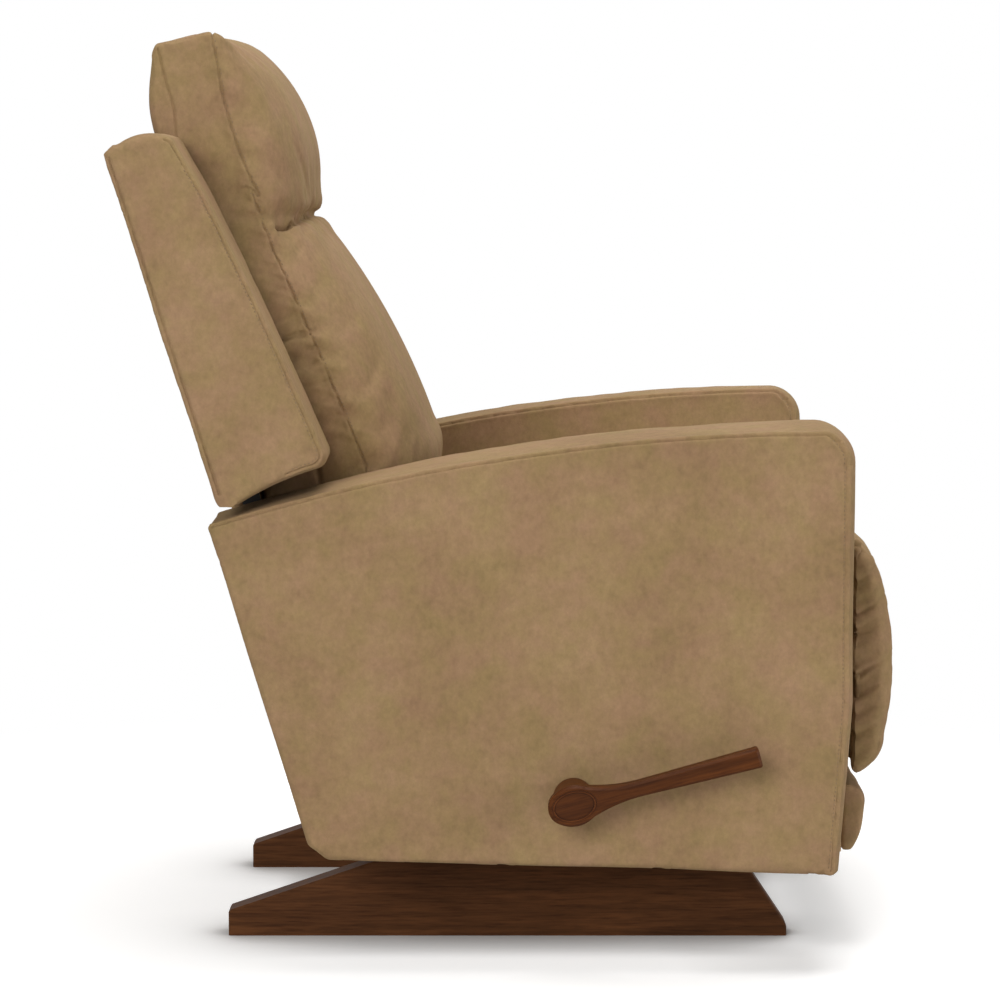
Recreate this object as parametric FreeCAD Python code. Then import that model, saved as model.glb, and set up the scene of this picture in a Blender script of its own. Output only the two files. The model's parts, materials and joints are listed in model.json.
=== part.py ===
"""Upholstered rocker recliner in its own frame, in millimetres.

+X is the way the sitter faces, +Z is up and +Y is to the sitter's left. The origin is on the floor
under the middle of the whole chair, and the lever on the sitter's right counts in its width.
Everything is drawn about the mid-plane between the arms and moved sideways when it is written.
"""

import FreeCAD, Part
import os
from math import atan2, cos, degrees, hypot, pi, radians, sin, sqrt, tan

Vector = FreeCAD.Vector
os.makedirs("parts", exist_ok=True)

# Clearances
seat_gap = 0.3
running_gap = 0.05
overrun = 5.0

# Overall body
body_width = 820.0
arm_width = 130.0
arm_front = 390.0
arm_front_foot = 375.0
arm_front_low = 114.5
arm_rear_foot = -219.0
arm_rear_low = 131.0
arm_rear_top = 509.0
arm_front_top = 613.0
arm_lean = 17.0
arm_corner = 36.0
arm_bow = 26.0
arm_crown = 6.0
arm_pad_thick = 40.0
arm_foot_round = 17.0

# Base rails and their cross rails
rail_inset = 65.0
rail_thick = 38.0
rail_rear = -330.0
rail_front = 331.0
rail_height = 94.0
rail_rear_nose = 30.0
rail_rear_slope = 187.0
rail_front_toe = 13.0
rail_front_slope = 54.0
rail_bevel = 2.0
cross_rail_thick = 20.0
cross_rail_height = 60.0
cross_rail_low = 16.0
cross_rail_places = (-165.0, 215.0)

# Rocker cams, about the rocking axis
rock_x = 25.0
cam_radius = 400.0
cam_half_length = 150.0
cam_top = 190.0

# Rocker springs and their steel seats
spring_radius = 15.0
spring_wire = 3.2
spring_turns = 5
spring_reach = 75.0
shelf_thick = 3.0
shelf_depth = 42.0
shelf_half_length = 96.0
shelf_web = 30.0
lower_shelf = 58.0
upper_shelf = 150.0

# Mechanism plates inside the arms; the links lie beside them in layers
plate_thick = 4.0
layer_gap = 2.0
plate_low = 300.0
plate_top = 365.0
plate_front = 300.0
plate_rear = -215.0
flange_depth = 18.0
flange_thick = 3.0
lobe_low = 186.0
tube_size = 25.0
tube_wall = 2.0
tube_reach = 75.0
pin_radius = 4.0
pin_head_radius = 6.5
pin_head = 1.4

# Back, leaning on a line through its outer rear face
back_lean = 17.4
back_line_x = -323.0
back_line_z = 530.0
shell_depth = 15.0
shell_low = 300.0
shell_top = 920.0
shell_top_rise = 12.0
shell_neck = 530.0
shell_neck_inset = 12.0
board_depth = 22.0
board_inset = 10.5
board_low = 402.0
board_nape_gap = 25.0
back_pivot_x = -262.0
back_pivot_z = 425.0
back_hub = 16.0
bracket_top = 610.0

# Wings beside the back cushions
wing_rear = -444.0
wing_low = 524.0
wing_depth = 242.0
wing_height = 420.0
wing_inset = 3.0
wing_round = 12.0

# Back cushions
cushion_side_gap = 3.0
tuck_z = 852.0
tuck_x = -236.0
pillow_top = 1063.0
pillow_rear = -411.0
pillow_front = -229.0
lumbar_low = 482.0
lumbar_front = -82.0
pillow_crown = 62.0
lumbar_crown = 84.0

# Seat
seat_pivot_x = -195.0
seat_pivot_rise = 10.4
seat_hub = 13.0
seat_rail_low = 365.6
seat_rail_high = 391.0
seat_rail_thick = 24.0
seat_rail_inset = 30.0
seat_rail_front = 372.0
seat_rail_rear = -208.0
webbing_width = 50.0
webbing_thick = 2.5
webbing_count = 5
cushion_front = 380.0
cushion_rear = -213.0
cushion_top_front = 497.0
cushion_top_rear = 456.0
cushion_round = 42.0
cushion_swell = 10.0

# Leg-rest linkage: angles are from forward, upward positive, folded then open
link_x = 195.0
link_z = 325.0
rear_link_length = 190.0
front_link_length = 230.0
rear_link_folded_angle = -75.0
rear_link_open_angle = 12.0
front_link_folded_angle = 68.0
front_link_open_angle = 12.0
link_width = 22.0
slim_link_width = 16.0
lug_length = 35.0
lug_angle = -40.0
tail_length = 35.0
tail_angle = 140.0
control_share = 0.6
crank_length = 28.0
crank_angle = 80.0

# Leg rest and the valance under it
leg_board_rear = 385.0
leg_board_thick = 12.0
leg_board_low = 206.0
leg_board_top = 470.0
leg_board_inset = 18.0
leg_pad_side_gap = 6.0
leg_pad_low = 197.0
leg_pad_top = 487.0
leg_pad_front = 449.0
bracket_flange = 22.0
bracket_flange_thick = 3.0
bracket_up = 28.0
bracket_down = 66.0
front_rail_rear = 372.0
front_rail_thick = 16.0
front_rail_top = 174.0
valance_top = 192.0
valance_front = 416.0
valance_side_gap = 5.0

# Rear rail and skirt between the arms
skirt_low = 150.0
skirt_top = 380.0
skirt_depth = 12.0
rear_rail_low = 165.0
rear_rail_height = 60.0
rear_rail_thick = 20.0

# Lever, boss and drive rod
hub_x = 74.0
hub_z = 202.0
rod_radius = 6.0
boss_radius = 23.0
boss_thick = 33.0
lever_thick = 17.0
lever_angle = 14.8
lever_length = 213.0
lever_hub = 29.5
lever_hub_half_height = 23.0
lever_neck = 17.0
lever_neck_place = 78.0
lever_tip = 22.5
lever_tip_round = 3.0
lever_bevel = 3.0
medallion_long = 25.0
medallion_high = 17.0
medallion_thick = 2.0
medallion_rim = 2.5
medallion_sink = 1.0

# Arm bolts
bolt_radius = 4.0
bolt_head_radius = 8.0
bolt_head = 1.6
bolt_reach = 40.0
bolt_places = (-150.0, 40.0)
bolt_z = 335.0

# Outlines of the soft pieces as shares: along the depth and up the height of the piece, then how
# far the point follows the crown back and the shoulder down towards the sides
pillow_nape_share = 0.36
pillow_shoulder_share = 0.057
nape_draw_share = 0.0664
pillow_shares = (
    ((0.007, 0.69, 0, 0.5), (0.058, 0.948, 0, 1)),
    ((0.26, 1, 0, 1), (0.54, 0.967, 0.3, 1)),
    ((0.807, 0.72, 1, 0), (0.99, 0.2, 1, 0)),
    ((0.996, 0.09, 0.85, 0), (0.975, 0, 0.8, 0)),
)
lumbar_shares = (
    ((0.42, 0.76, 1, 0), (0.94, 0.31, 1, 0)),
    ((1.03, 0.14, 1, 0), (0.88, 0, 1, 0)),
)
leg_pad_shares = (
    (0.22, 0, 0, 0),
    ((0.58, 0.045, 0, 0), (0.84, 0.18, 0, 0)),
    ((1, 0.54, 0, 0), (0.7, 0.83, 0, 0)),
    ((0.45, 0.925, 0, 0), (0, 1, 0, 0)),
)
valance_shares = (
    (0.5, 1, 0, 0),
    ((1, 0.62, 0, 0), (0.5, 0, 0, 0)),
)
wing_shares = (
    ((0.145, 0.995, 0, 0), (0.298, 0.988, 0, 0)),
    (0.438, 0.852, 0, 0),
    ((0.712, 0.524, 0, 0), (0.996, 0.157, 0, 0)),
    ((0.99, 0.124, 0, 0), (0.955, 0.112, 0, 0)),
    ((0.735, 0.062, 0, 0), (0.56, 0.004, 0, 0)),
)
wing_heel_share = 0.014
wing_top_share = 0.967
# Across a wing: the place from its inner face, and how much of its rounding is drawn in there
wing_round_shares = ((0, 0.6), (0.1, 0.12), (0.3, 0), (0.5, 0), (0.7, 0), (0.9, 0.1), (1, 0.5))
# Across an arm pad: the place from its inner edge, and how much of its crown it has there
arm_crown_shares = ((0, 0.6), (0.12, 0.9), (0.35, 1), (0.65, 0.7), (0.88, 0.3), (1, 0))
# Across a cushion: places from the middle, on either side
crown_place_shares = (-1, -0.96, -0.86, -0.68, -0.44, -0.16, 0.16, 0.44, 0.68, 0.86, 0.96, 1)
soft_power = 2.5
firm_power = 5
leg_pad_edge_share = 0.7
leg_pad_corner_share = 0.05
valance_edge_share = 0.8
cushion_corner_share = 0.25
lever_join_shares = (0.61, 0.76)
lever_shoulder_shares = (0.68, 0.72)
lever_waist_share = 0.58
lever_waist_width_share = 1.28
diagonal = sqrt(0.5)

# Worked out from the sizes above
half_width = body_width / 2
arm_inner = half_width - arm_width
shell_half_neck = arm_inner - shell_neck_inset
board_half = arm_inner - board_inset
wing_inner = arm_inner + wing_inset
cushion_half = arm_inner - cushion_side_gap
seat_rail_outer = arm_inner - seat_rail_inset
leg_board_half = arm_inner - leg_board_inset
leg_pad_half = arm_inner - leg_pad_side_gap
valance_half = arm_inner - valance_side_gap
handle_reach = boss_thick + lever_thick + medallion_thick - medallion_sink
side_shift = handle_reach / 2
rock_z = rail_height + seat_gap + cam_radius
seat_pivot_z = seat_rail_low + seat_pivot_rise
pillow_low = tuck_z + seat_gap / 2
pillow_height = pillow_top - pillow_low
pillow_nape = pillow_low + pillow_height * pillow_nape_share
pillow_shoulder = pillow_height * pillow_shoulder_share
nape_draw = pillow_height * nape_draw_share
board_top = pillow_nape - board_nape_gap
rail_outer = arm_inner - rail_inset
rail_inner = rail_outer - rail_thick
pitch = plate_thick + layer_gap


def layer(number):
    """Low and high distance from the mid-plane of a layer of links; the plate itself is layer 0."""
    high = arm_inner - number * pitch
    return high - plate_thick, high


def arm_rear_x(z):
    return arm_rear_foot - (z - arm_rear_low) * tan(radians(arm_lean))


def back_x(z):
    """The outer rear face of the back at a height."""
    return back_line_x - (z - back_line_z) * tan(radians(back_lean))


def around(centre, length, angle):
    """The point at a length and angle from a centre, in the side view."""
    return (centre[0] + length * cos(radians(angle)), centre[1] + length * sin(radians(angle)))


def outline(y, start, *steps):
    """A closed face at one y. A step is a corner, or the middle and the end of an arc."""
    here = Vector(start[0], y, start[1])
    edges = []
    for step in steps + (start,):
        if isinstance(step[0], tuple):
            middle, end = (Vector(place[0], y, place[1]) for place in step)
            edges.append(Part.Arc(here, middle, end).toShape())
        else:
            end = Vector(step[0], y, step[1])
            if end.distanceToPoint(here) > running_gap:
                edges.append(Part.LineSegment(here, end).toShape())
        here = end
    return Part.Wire(edges)


def prism(low, high, start, *steps):
    """The outline drawn out from one y to another."""
    face = Part.Face(outline(low, start, *steps))
    return face.extrude(Vector(0, high - low, 0))


def box(x, y, z):
    """A block from three pairs of low and high."""
    size = [pair[1] - pair[0] for pair in (x, y, z)]
    return Part.makeBox(*size, Vector(x[0], y[0], z[0]))


def rod(place, radius, low, high):
    """A round bar along Y at a place in the side view."""
    return Part.makeCylinder(radius, high - low, Vector(place[0], low, place[1]), Vector(0, 1, 0))


def lofted(sections):
    return Part.makeLoft(sections, True, False)


def mirrored(shape):
    return shape.mirror(Vector(0, 0, 0), Vector(0, 1, 0))


def save(node, *shapes):
    """Write the solids of one node, moved from the mid-plane to the chair's own frame."""
    shape = shapes[0] if len(shapes) == 1 else Part.makeCompound(list(shapes))
    moved = shape.copy()
    moved.translate(Vector(0, side_shift, 0))
    moved.exportStep(f"parts/{node}.step")


def save_sides(name, left):
    save(f"{name}_left", left)
    save(f"{name}_right", mirrored(left))


def save_pair(node, *lefts):
    save(node, *lefts, *(mirrored(left) for left in lefts))


def strap(low, high, ends, width):
    """A flat link with round ends between two places."""
    (x0, z0), (x1, z1) = ends
    length = hypot(x1 - x0, z1 - z0)
    along = ((x1 - x0) / length, (z1 - z0) / length)
    half = width / 2
    side = (-along[1] * half, along[0] * half)
    tip = (along[0] * half, along[1] * half)
    return prism(
        low,
        high,
        (x0 + side[0], z0 + side[1]),
        ((x0 - tip[0], z0 - tip[1]), (x0 - side[0], z0 - side[1])),
        (x1 - side[0], z1 - side[1]),
        ((x1 + tip[0], z1 + tip[1]), (x1 + side[0], z1 + side[1])),
    )


def drilled(shape, places, radius):
    for place in places:
        reach = shape.BoundBox
        shape = shape.cut(rod(place, radius + running_gap, reach.YMin - overrun, reach.YMax + overrun))
    return shape


def pin(place, first, last):
    """A headed pin from the face of one layer to the far face of another."""
    high = layer(first)[1]
    low = layer(last)[0]
    head = rod(place, pin_head_radius, low - pin_head, low)
    return rod(place, pin_radius, low, high).fuse(head)


def fullness(place, power, edge_share=0.0):
    """1 in the middle, falling along a rounded curve to the edge share at the side."""
    return edge_share + (1 - edge_share) * (1 - abs(place) ** power) ** (1 / power)


def shaped(shares, rear, front, low, high, back=0.0, sink=0.0):
    """Outline steps from a table of shares, put between four sides."""

    def place(along, up, follow_back, follow_sink):
        x = rear + (front - rear) * along - back * follow_back
        return (x, low + (high - low) * up - sink * follow_sink)

    steps = []
    for step in shares:
        if isinstance(step[0], tuple):
            steps.append(tuple(place(*point) for point in step))
        else:
            steps.append(place(*step))
    return steps


# Arms: an upholstered body under a crowned pad
front_high = arm_front_top - arm_corner


def arm_bow_steps(drop, lift):
    """The long bow of the arm's top, from front to rear, lowered by a drop or raised by a lift."""
    level = arm_front - arm_corner
    rear = arm_rear_x(arm_rear_top - drop)
    high = arm_front_top - drop + lift
    middle = ((level + rear) / 2, (high + arm_rear_top - drop) / 2 + arm_bow)
    return (level, high), (middle, (rear, arm_rear_top - drop))


def make_arms():
    body = prism(
        arm_inner,
        half_width,
        (arm_rear_foot + arm_foot_round, arm_rear_low),
        (arm_front_foot, arm_front_low),
        (arm_front, arm_front_top / 2),
        (arm_front, front_high - seat_gap),
        *arm_bow_steps(arm_pad_thick + seat_gap, 0),
        (arm_rear_x(arm_rear_low + arm_foot_round), arm_rear_low + arm_foot_round),
    )
    bolts = [(place, bolt_z) for place in bolt_places]
    for bolt in bolts:
        hole = rod(bolt, bolt_radius + running_gap, arm_inner - overrun, arm_inner + bolt_reach + seat_gap)
        body = body.cut(hole)
    right = drilled(mirrored(body), [(hub_x, hub_z)], rod_radius + seat_gap)
    save("arm_left", body)
    save("arm_right", right)

    sections = []
    for width_share, lift_share in arm_crown_shares:
        lift = arm_crown * lift_share
        front, bow = arm_bow_steps(0, lift)
        under_front, under_bow = arm_bow_steps(arm_pad_thick, 0)
        bend = arm_corner * diagonal
        corner = (front[0] + bend, front_high + bend + lift / 2)
        sections.append(
            outline(
                arm_inner + arm_width * width_share,
                under_front,
                (arm_front, front_high),
                (corner, front),
                bow,
                under_bow[1],
                (under_bow[0], under_front),
            )
        )
    save_sides("arm_pad", lofted(sections))

    bolts = []
    for place in bolt_places:
        inner = layer(0)[0]
        bolt = rod((place, bolt_z), bolt_radius, inner, arm_inner + bolt_reach)
        bolts.append(bolt.fuse(rod((place, bolt_z), bolt_head_radius, inner - bolt_head, inner)))
    save_pair("arm_bolts", *bolts)


# Base: two dark wooden rails, cross rails and the lower spring seats
def make_base():
    rail = prism(
        rail_inner,
        rail_outer,
        (rail_rear, 0),
        (rail_rear, rail_rear_nose),
        (rail_rear + rail_rear_slope, rail_height),
        (rail_front - rail_front_slope, rail_height),
        (rail_front, rail_front_toe),
        (rail_front, 0),
    )
    raised = [edge for edge in rail.Edges if edge.BoundBox.ZMax > rail_bevel]
    save_sides("base_rail", rail.makeChamfer(rail_bevel, raised))
    for name, place in zip(("rear", "front"), cross_rail_places):
        half = cross_rail_thick / 2
        bar = box(
            (place - half, place + half),
            (-rail_inner, rail_inner),
            (cross_rail_low, cross_rail_low + cross_rail_height),
        )
        save(f"base_cross_{name}", bar)


def spring_shelf(level, web_low, web_high):
    """A bent steel seat: a web against the wood and a shelf that a spring stands on."""
    x = (rock_x - shelf_half_length, rock_x + shelf_half_length)
    web = box(x, (rail_inner - shelf_thick, rail_inner), (web_low, web_high))
    shelf = box(x, (rail_inner - shelf_depth, rail_inner), (level, level + shelf_thick))
    return web.fuse(shelf).removeSplitter()


def tangent_arc(start, heading, end):
    """The arc that leaves a place in a given direction and ends at another place."""
    chord = end - start
    inward = heading.cross(chord).cross(heading)
    inward.normalize()
    radius = chord.dot(chord) / (2 * chord.dot(inward))
    centre = start + inward * radius
    outward = (start + end) * 0.5 - centre
    outward.normalize()
    return Part.Arc(start, centre + outward * radius, end).toShape()


def coil_line(radius, rise, turns):
    """The centre line of a coil: two arcs that meet without a corner to each half turn."""

    def place(half_turns):
        angle = pi * half_turns
        return Vector(radius * cos(angle), radius * sin(angle), rise * half_turns / 2)

    def heading(half_turns):
        angle = pi * half_turns
        along = Vector(-radius * sin(angle), radius * cos(angle), rise / (2 * pi))
        along.normalize()
        return along

    edges = []
    for number in range(2 * turns):
        start, end = place(number), place(number + 1)
        leaving, arriving = heading(number), heading(number + 1)
        chord = end - start
        spread = 2 * (1 - leaving.dot(arriving))
        reach = 2 * chord.dot(leaving + arriving)
        span = (sqrt(reach**2 + 4 * spread * chord.dot(chord)) - reach) / (2 * spread)
        middle = (start + end + (leaving - arriving) * span) * 0.5
        edges.append(tangent_arc(start, leaving, middle))
        edges.append(tangent_arc(end, -arriving, middle))
    return Part.Wire(edges)


def least_gap(line, radius, turns):
    """The least clear gap between a coil's turns, on points along its centre line."""
    points_per_turn = 24
    spots = line.discretize(turns * points_per_turn + 1)
    gaps = []
    for number, spot in enumerate(spots):
        for other in spots[number + points_per_turn // 2 :]:
            gaps.append(spot.distanceToPoint(other))
    return min(gaps) - 2 * radius


def make_springs():
    save_pair("lower_spring_seats", spring_shelf(lower_shelf, lower_shelf - shelf_web, lower_shelf))
    top = upper_shelf + shelf_thick
    save_pair("upper_spring_seats", spring_shelf(upper_shelf, top, top + shelf_web))
    low = lower_shelf + shelf_thick + seat_gap + spring_wire
    high = upper_shelf - seat_gap - spring_wire
    rise = (high - low) / spring_turns
    line = coil_line(spring_radius, rise, spring_turns)
    tangent = Vector(0, spring_radius, rise / (2 * pi))
    circle = Part.Circle(Vector(spring_radius, 0, 0), tangent, spring_wire)
    coil = line.makePipeShell([Part.Wire([circle.toShape()])], True, False)
    y = rail_inner - shelf_depth / 2
    for name, reach in (("rear", -spring_reach), ("front", spring_reach)):
        spring = coil.copy()
        spring.translate(Vector(rock_x + reach, y, low))
        save_sides(f"rocker_spring_{name}", spring)
    gap = least_gap(line, spring_wire, spring_turns)
    print(f"spring: {spring_turns} turns, least gap between turns {gap:.2f} mm")


# Chassis: cams, plates, tubes and rails
def make_cams():
    drop = sqrt(cam_radius**2 - cam_half_length**2)
    low = rock_z - drop
    cam = prism(
        rail_inner,
        rail_outer,
        (rock_x - cam_half_length, low),
        ((rock_x, rock_z - cam_radius), (rock_x + cam_half_length, low)),
        (rock_x + cam_half_length, cam_top),
        (rock_x - cam_half_length, cam_top),
    )
    save_sides("rocker_cam", cam)


def make_plates(pivots):
    low, high = layer(0)
    lobe_half = tube_size
    rear_tube = rock_x - tube_reach
    front_tube = rock_x + tube_reach
    back_pivot = (back_pivot_x, back_pivot_z)
    hub_side = back_hub * diagonal
    seat_side = seat_hub
    plate = prism(
        low,
        high,
        (plate_front, plate_top),
        (seat_pivot_x + seat_side, plate_top),
        (seat_pivot_x + seat_side, seat_pivot_z),
        ((seat_pivot_x, seat_pivot_z + seat_hub), (seat_pivot_x - seat_side, seat_pivot_z)),
        (back_pivot_x + hub_side, back_pivot_z + hub_side),
        (
            (back_pivot_x, back_pivot_z + back_hub),
            (back_pivot_x - hub_side, back_pivot_z - hub_side),
        ),
        (plate_rear, plate_low),
        (rear_tube - lobe_half, plate_low),
        (rear_tube - lobe_half, lobe_low),
        (rear_tube + lobe_half, lobe_low),
        (rear_tube + lobe_half, plate_low),
        (hub_x - lobe_half, plate_low),
        (hub_x - lobe_half, lobe_low),
        (front_tube + lobe_half, lobe_low),
        (front_tube + lobe_half, plate_low),
        (plate_front, plate_low),
    )
    flange = box(
        (seat_pivot_x + seat_side, plate_front),
        (high - flange_depth, high),
        (plate_top - flange_thick, plate_top),
    )
    plate = plate.fuse(flange).removeSplitter()
    holes = [pivots["rear_link"], pivots["control"], back_pivot, (seat_pivot_x, seat_pivot_z)]
    plate = drilled(plate, holes, pin_radius)
    plate = drilled(plate, [(place, bolt_z) for place in bolt_places], bolt_radius)
    plate = drilled(plate, [(hub_x, hub_z)], rod_radius)
    save_sides("mech_plate", plate)

    inner = layer(0)[0] - seat_gap
    for name, place in (("rear", rear_tube), ("front", front_tube)):
        half = tube_size / 2
        bottom = cam_top
        tube = box((place - half, place + half), (-inner, inner), (bottom, bottom + tube_size))
        bore = box(
            (place - half + tube_wall, place + half - tube_wall),
            (-inner - overrun, inner + overrun),
            (bottom + tube_wall, bottom + tube_size - tube_wall),
        )
        save(f"cross_tube_{name}", tube.cut(bore))

    inner_face = layer(1)[0]
    seat_pin = rod((seat_pivot_x, seat_pivot_z), pin_radius, seat_rail_outer - seat_rail_thick, high)
    pins = [
        rod(pivots["rear_link"], pin_radius, inner_face, high),
        pin(pivots["control"], 0, 3),
        rod(back_pivot, pin_radius, inner_face, high),
        seat_pin,
    ]
    save_pair("mechanism_pins", *pins)


def make_rails():
    span = arm_inner - seat_gap
    rail = box(
        (front_rail_rear, front_rail_rear + front_rail_thick),
        (-span, span),
        (arm_front_low, front_rail_top),
    )
    save("front_rail", rail)
    rear = front_rail_rear + front_rail_thick + seat_gap
    sections = []
    for place in crown_place_shares:
        front = rear + (valance_front - rear) * fullness(place, firm_power, valance_edge_share)
        steps = shaped(valance_shares, rear, front, arm_front_low, valance_top)
        start = (rear, arm_front_low)
        sections.append(outline(valance_half * place, start, (rear, valance_top), *steps))
    save("front_valance", lofted(sections))

    face = arm_rear_x(skirt_low) + skirt_depth
    bar = prism(
        -span,
        span,
        (arm_rear_x(rear_rail_low) + skirt_depth + seat_gap, rear_rail_low),
        (face + rear_rail_thick, rear_rail_low),
        (face + rear_rail_thick, rear_rail_low + rear_rail_height),
        (
            arm_rear_x(rear_rail_low + rear_rail_height) + skirt_depth + seat_gap,
            rear_rail_low + rear_rail_height,
        ),
    )
    save("rear_rail", bar)
    skirt = prism(
        -span,
        span,
        (arm_rear_x(skirt_low), skirt_low),
        (arm_rear_x(skirt_low) + skirt_depth, skirt_low),
        (arm_rear_x(skirt_top) + skirt_depth, skirt_top),
        (arm_rear_x(skirt_top), skirt_top),
    )
    save("rear_skirt", skirt)


# Seat
def make_seat():
    low = seat_rail_outer - seat_rail_thick
    rail = box((seat_rail_rear, seat_rail_front), (low, seat_rail_outer), (seat_rail_low, seat_rail_high))
    rail = drilled(rail, [(seat_pivot_x, seat_pivot_z)], pin_radius)
    save_sides("seat_rail", rail)
    half = low - seat_gap
    ends = (
        ("rear", seat_rail_rear, seat_rail_rear + seat_rail_thick),
        ("front", seat_rail_front - seat_rail_thick, seat_rail_front),
    )
    for name, start, stop in ends:
        bar = box((start, stop), (-half, half), (seat_rail_low, seat_rail_high - webbing_thick))
        if name == "rear":
            bar = bar.cut(rod((seat_pivot_x, seat_pivot_z), pin_radius + running_gap, low - overrun, low))
        save(f"seat_rail_{name}", bar)
    step = 2 * half / webbing_count
    straps = []
    for number in range(webbing_count):
        middle = -half + step * (number + 0.5)
        straps.append(
            box(
                (seat_rail_rear, seat_rail_front),
                (middle - webbing_width / 2, middle + webbing_width / 2),
                (seat_rail_high - webbing_thick, seat_rail_high),
            )
        )
    save("seat_webbing", *straps)

    bottom = seat_rail_high + seat_gap
    sections = []
    for place in crown_place_shares:
        full = fullness(place, soft_power)
        draw = cushion_round * (1 - fullness(place, firm_power)) * cushion_corner_share
        swell = cushion_swell * full
        front = cushion_front - draw
        rear = cushion_rear + draw
        high = cushion_top_front - draw - cushion_swell + swell
        back_high = cushion_top_rear - draw - cushion_swell + swell
        bend = cushion_round * (1 - diagonal)
        middle = ((front + rear) / 2, (high + back_high) / 2 + swell)
        sections.append(
            outline(
                cushion_half * place,
                (rear, bottom),
                (front, bottom),
                (front, high - cushion_round),
                ((front - bend, high - bend), (front - cushion_round, high)),
                (middle, (rear, back_high)),
            )
        )
    save("seat_cushion", lofted(sections))


# Back
def make_back():
    def slab(half, low, high, start, depth, rise=0.0):
        return prism(
            -half,
            half,
            (back_x(low) + start, low),
            (back_x(low) + start + depth, low),
            (back_x(high + rise) + start + depth, high + rise),
            (back_x(high) + start, high),
        )

    shell = slab(half_width, shell_neck, shell_top, 0, shell_depth, shell_top_rise)
    shell = shell.fuse(slab(shell_half_neck, shell_low, shell_neck, 0, shell_depth)).removeSplitter()
    save("back_shell", shell)
    start = shell_depth + seat_gap
    save("back_board", slab(board_half, board_low, board_top, start, board_depth))

    low, high = layer(1)
    pivot = (back_pivot_x, back_pivot_z)
    arm = prism(
        low,
        high,
        (back_x(back_pivot_z) + start, back_pivot_z),
        (back_x(back_pivot_z) + start + board_depth, back_pivot_z),
        (back_x(bracket_top) + start + board_depth, bracket_top),
        (back_x(bracket_top) + start, bracket_top),
    )
    hub = rod(pivot, back_hub, low, high)
    save_sides("back_bracket", drilled(arm.fuse(hub).removeSplitter(), [pivot], pin_radius))

    make_wings()
    make_back_cushions()


def wing_section(y, inset):
    """The side view of a wing, drawn in all round by an inset."""
    rear, front = wing_rear + inset, wing_rear + wing_depth - inset
    low, high = wing_low + inset, wing_low + wing_height - inset
    ahead = shell_depth + 2 * seat_gap + inset
    heel = low + (high - low) * wing_heel_share
    top = low + (high - low) * wing_top_share
    steps = shaped(wing_shares, rear, front, low, high)
    return outline(y, (back_x(heel) + ahead, heel), (back_x(top) + ahead, top), *steps)


def make_wings():
    width = half_width - wing_inner
    sections = []
    for place, drawn in wing_round_shares:
        sections.append(wing_section(wing_inner + width * place, wing_round * drawn))
    save_sides("wing", lofted(sections))


def make_back_cushions():
    ahead = shell_depth + 2 * seat_gap + board_depth
    sections = []
    for place in crown_place_shares:
        hollow = 1 - fullness(place, soft_power)
        steps = shaped(
            pillow_shares,
            pillow_rear,
            pillow_front,
            pillow_low,
            pillow_top,
            pillow_crown * hollow,
            pillow_shoulder * hollow,
        )
        rear = (back_x(pillow_low) + ahead, pillow_low)
        nape = (back_x(pillow_nape) + ahead + nape_draw, pillow_nape)
        sections.append(outline(cushion_half * place, rear, nape, *steps))
    save("head_pillow", lofted(sections))

    high = tuck_z - seat_gap / 2
    sections = []
    for place in crown_place_shares:
        hollow = 1 - fullness(place, soft_power)
        back = lumbar_crown * hollow
        steps = shaped(lumbar_shares, tuck_x, lumbar_front, lumbar_low, high, back)
        start = (back_x(lumbar_low) + ahead, lumbar_low)
        rear = (back_x(high) + ahead, high)
        tuck = (tuck_x - pillow_crown * hollow, high)
        sections.append(outline(cushion_half * place, start, rear, tuck, *steps))
    save("lumbar_cushion", lofted(sections))


# Leg rest
def linkage():
    """The linkage's pivots when it is folded, and how far its members turn as it opens."""
    sweep = rear_link_open_angle - rear_link_folded_angle
    root = (link_x, link_z)
    pivots = {"rear_link": root}
    knee = around(root, rear_link_length, rear_link_folded_angle)
    open_knee = around(root, rear_link_length, rear_link_open_angle)
    pivots["knee"] = knee
    pivots["pad"] = around(knee, front_link_length, front_link_folded_angle)
    pivots["pad_link_knee"] = around(knee, lug_length, rear_link_folded_angle + lug_angle)
    pivots["pad_link_pad"] = around(pivots["pad"], lug_length, rear_link_folded_angle + lug_angle)
    tail = around(knee, tail_length, front_link_folded_angle + tail_angle)
    open_tail = around(open_knee, tail_length, front_link_open_angle + tail_angle)
    pivots["tail"] = tail
    middle = ((tail[0] + open_tail[0]) / 2, (tail[1] + open_tail[1]) / 2)
    away = (tail[1] - open_tail[1], open_tail[0] - tail[0])
    control = (middle[0] + away[0] * control_share, middle[1] + away[1] * control_share)
    pivots["control"] = control
    pivots["drive"] = around(root, crank_length, crank_angle)
    pivots["crank"] = around((hub_x, hub_z), crank_length, crank_angle)
    turned = atan2(open_tail[1] - control[1], open_tail[0] - control[0])
    turned -= atan2(tail[1] - control[1], tail[0] - control[0])
    turns = {"rear_link": sweep, "control": degrees(turned)}
    return pivots, turns


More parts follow.
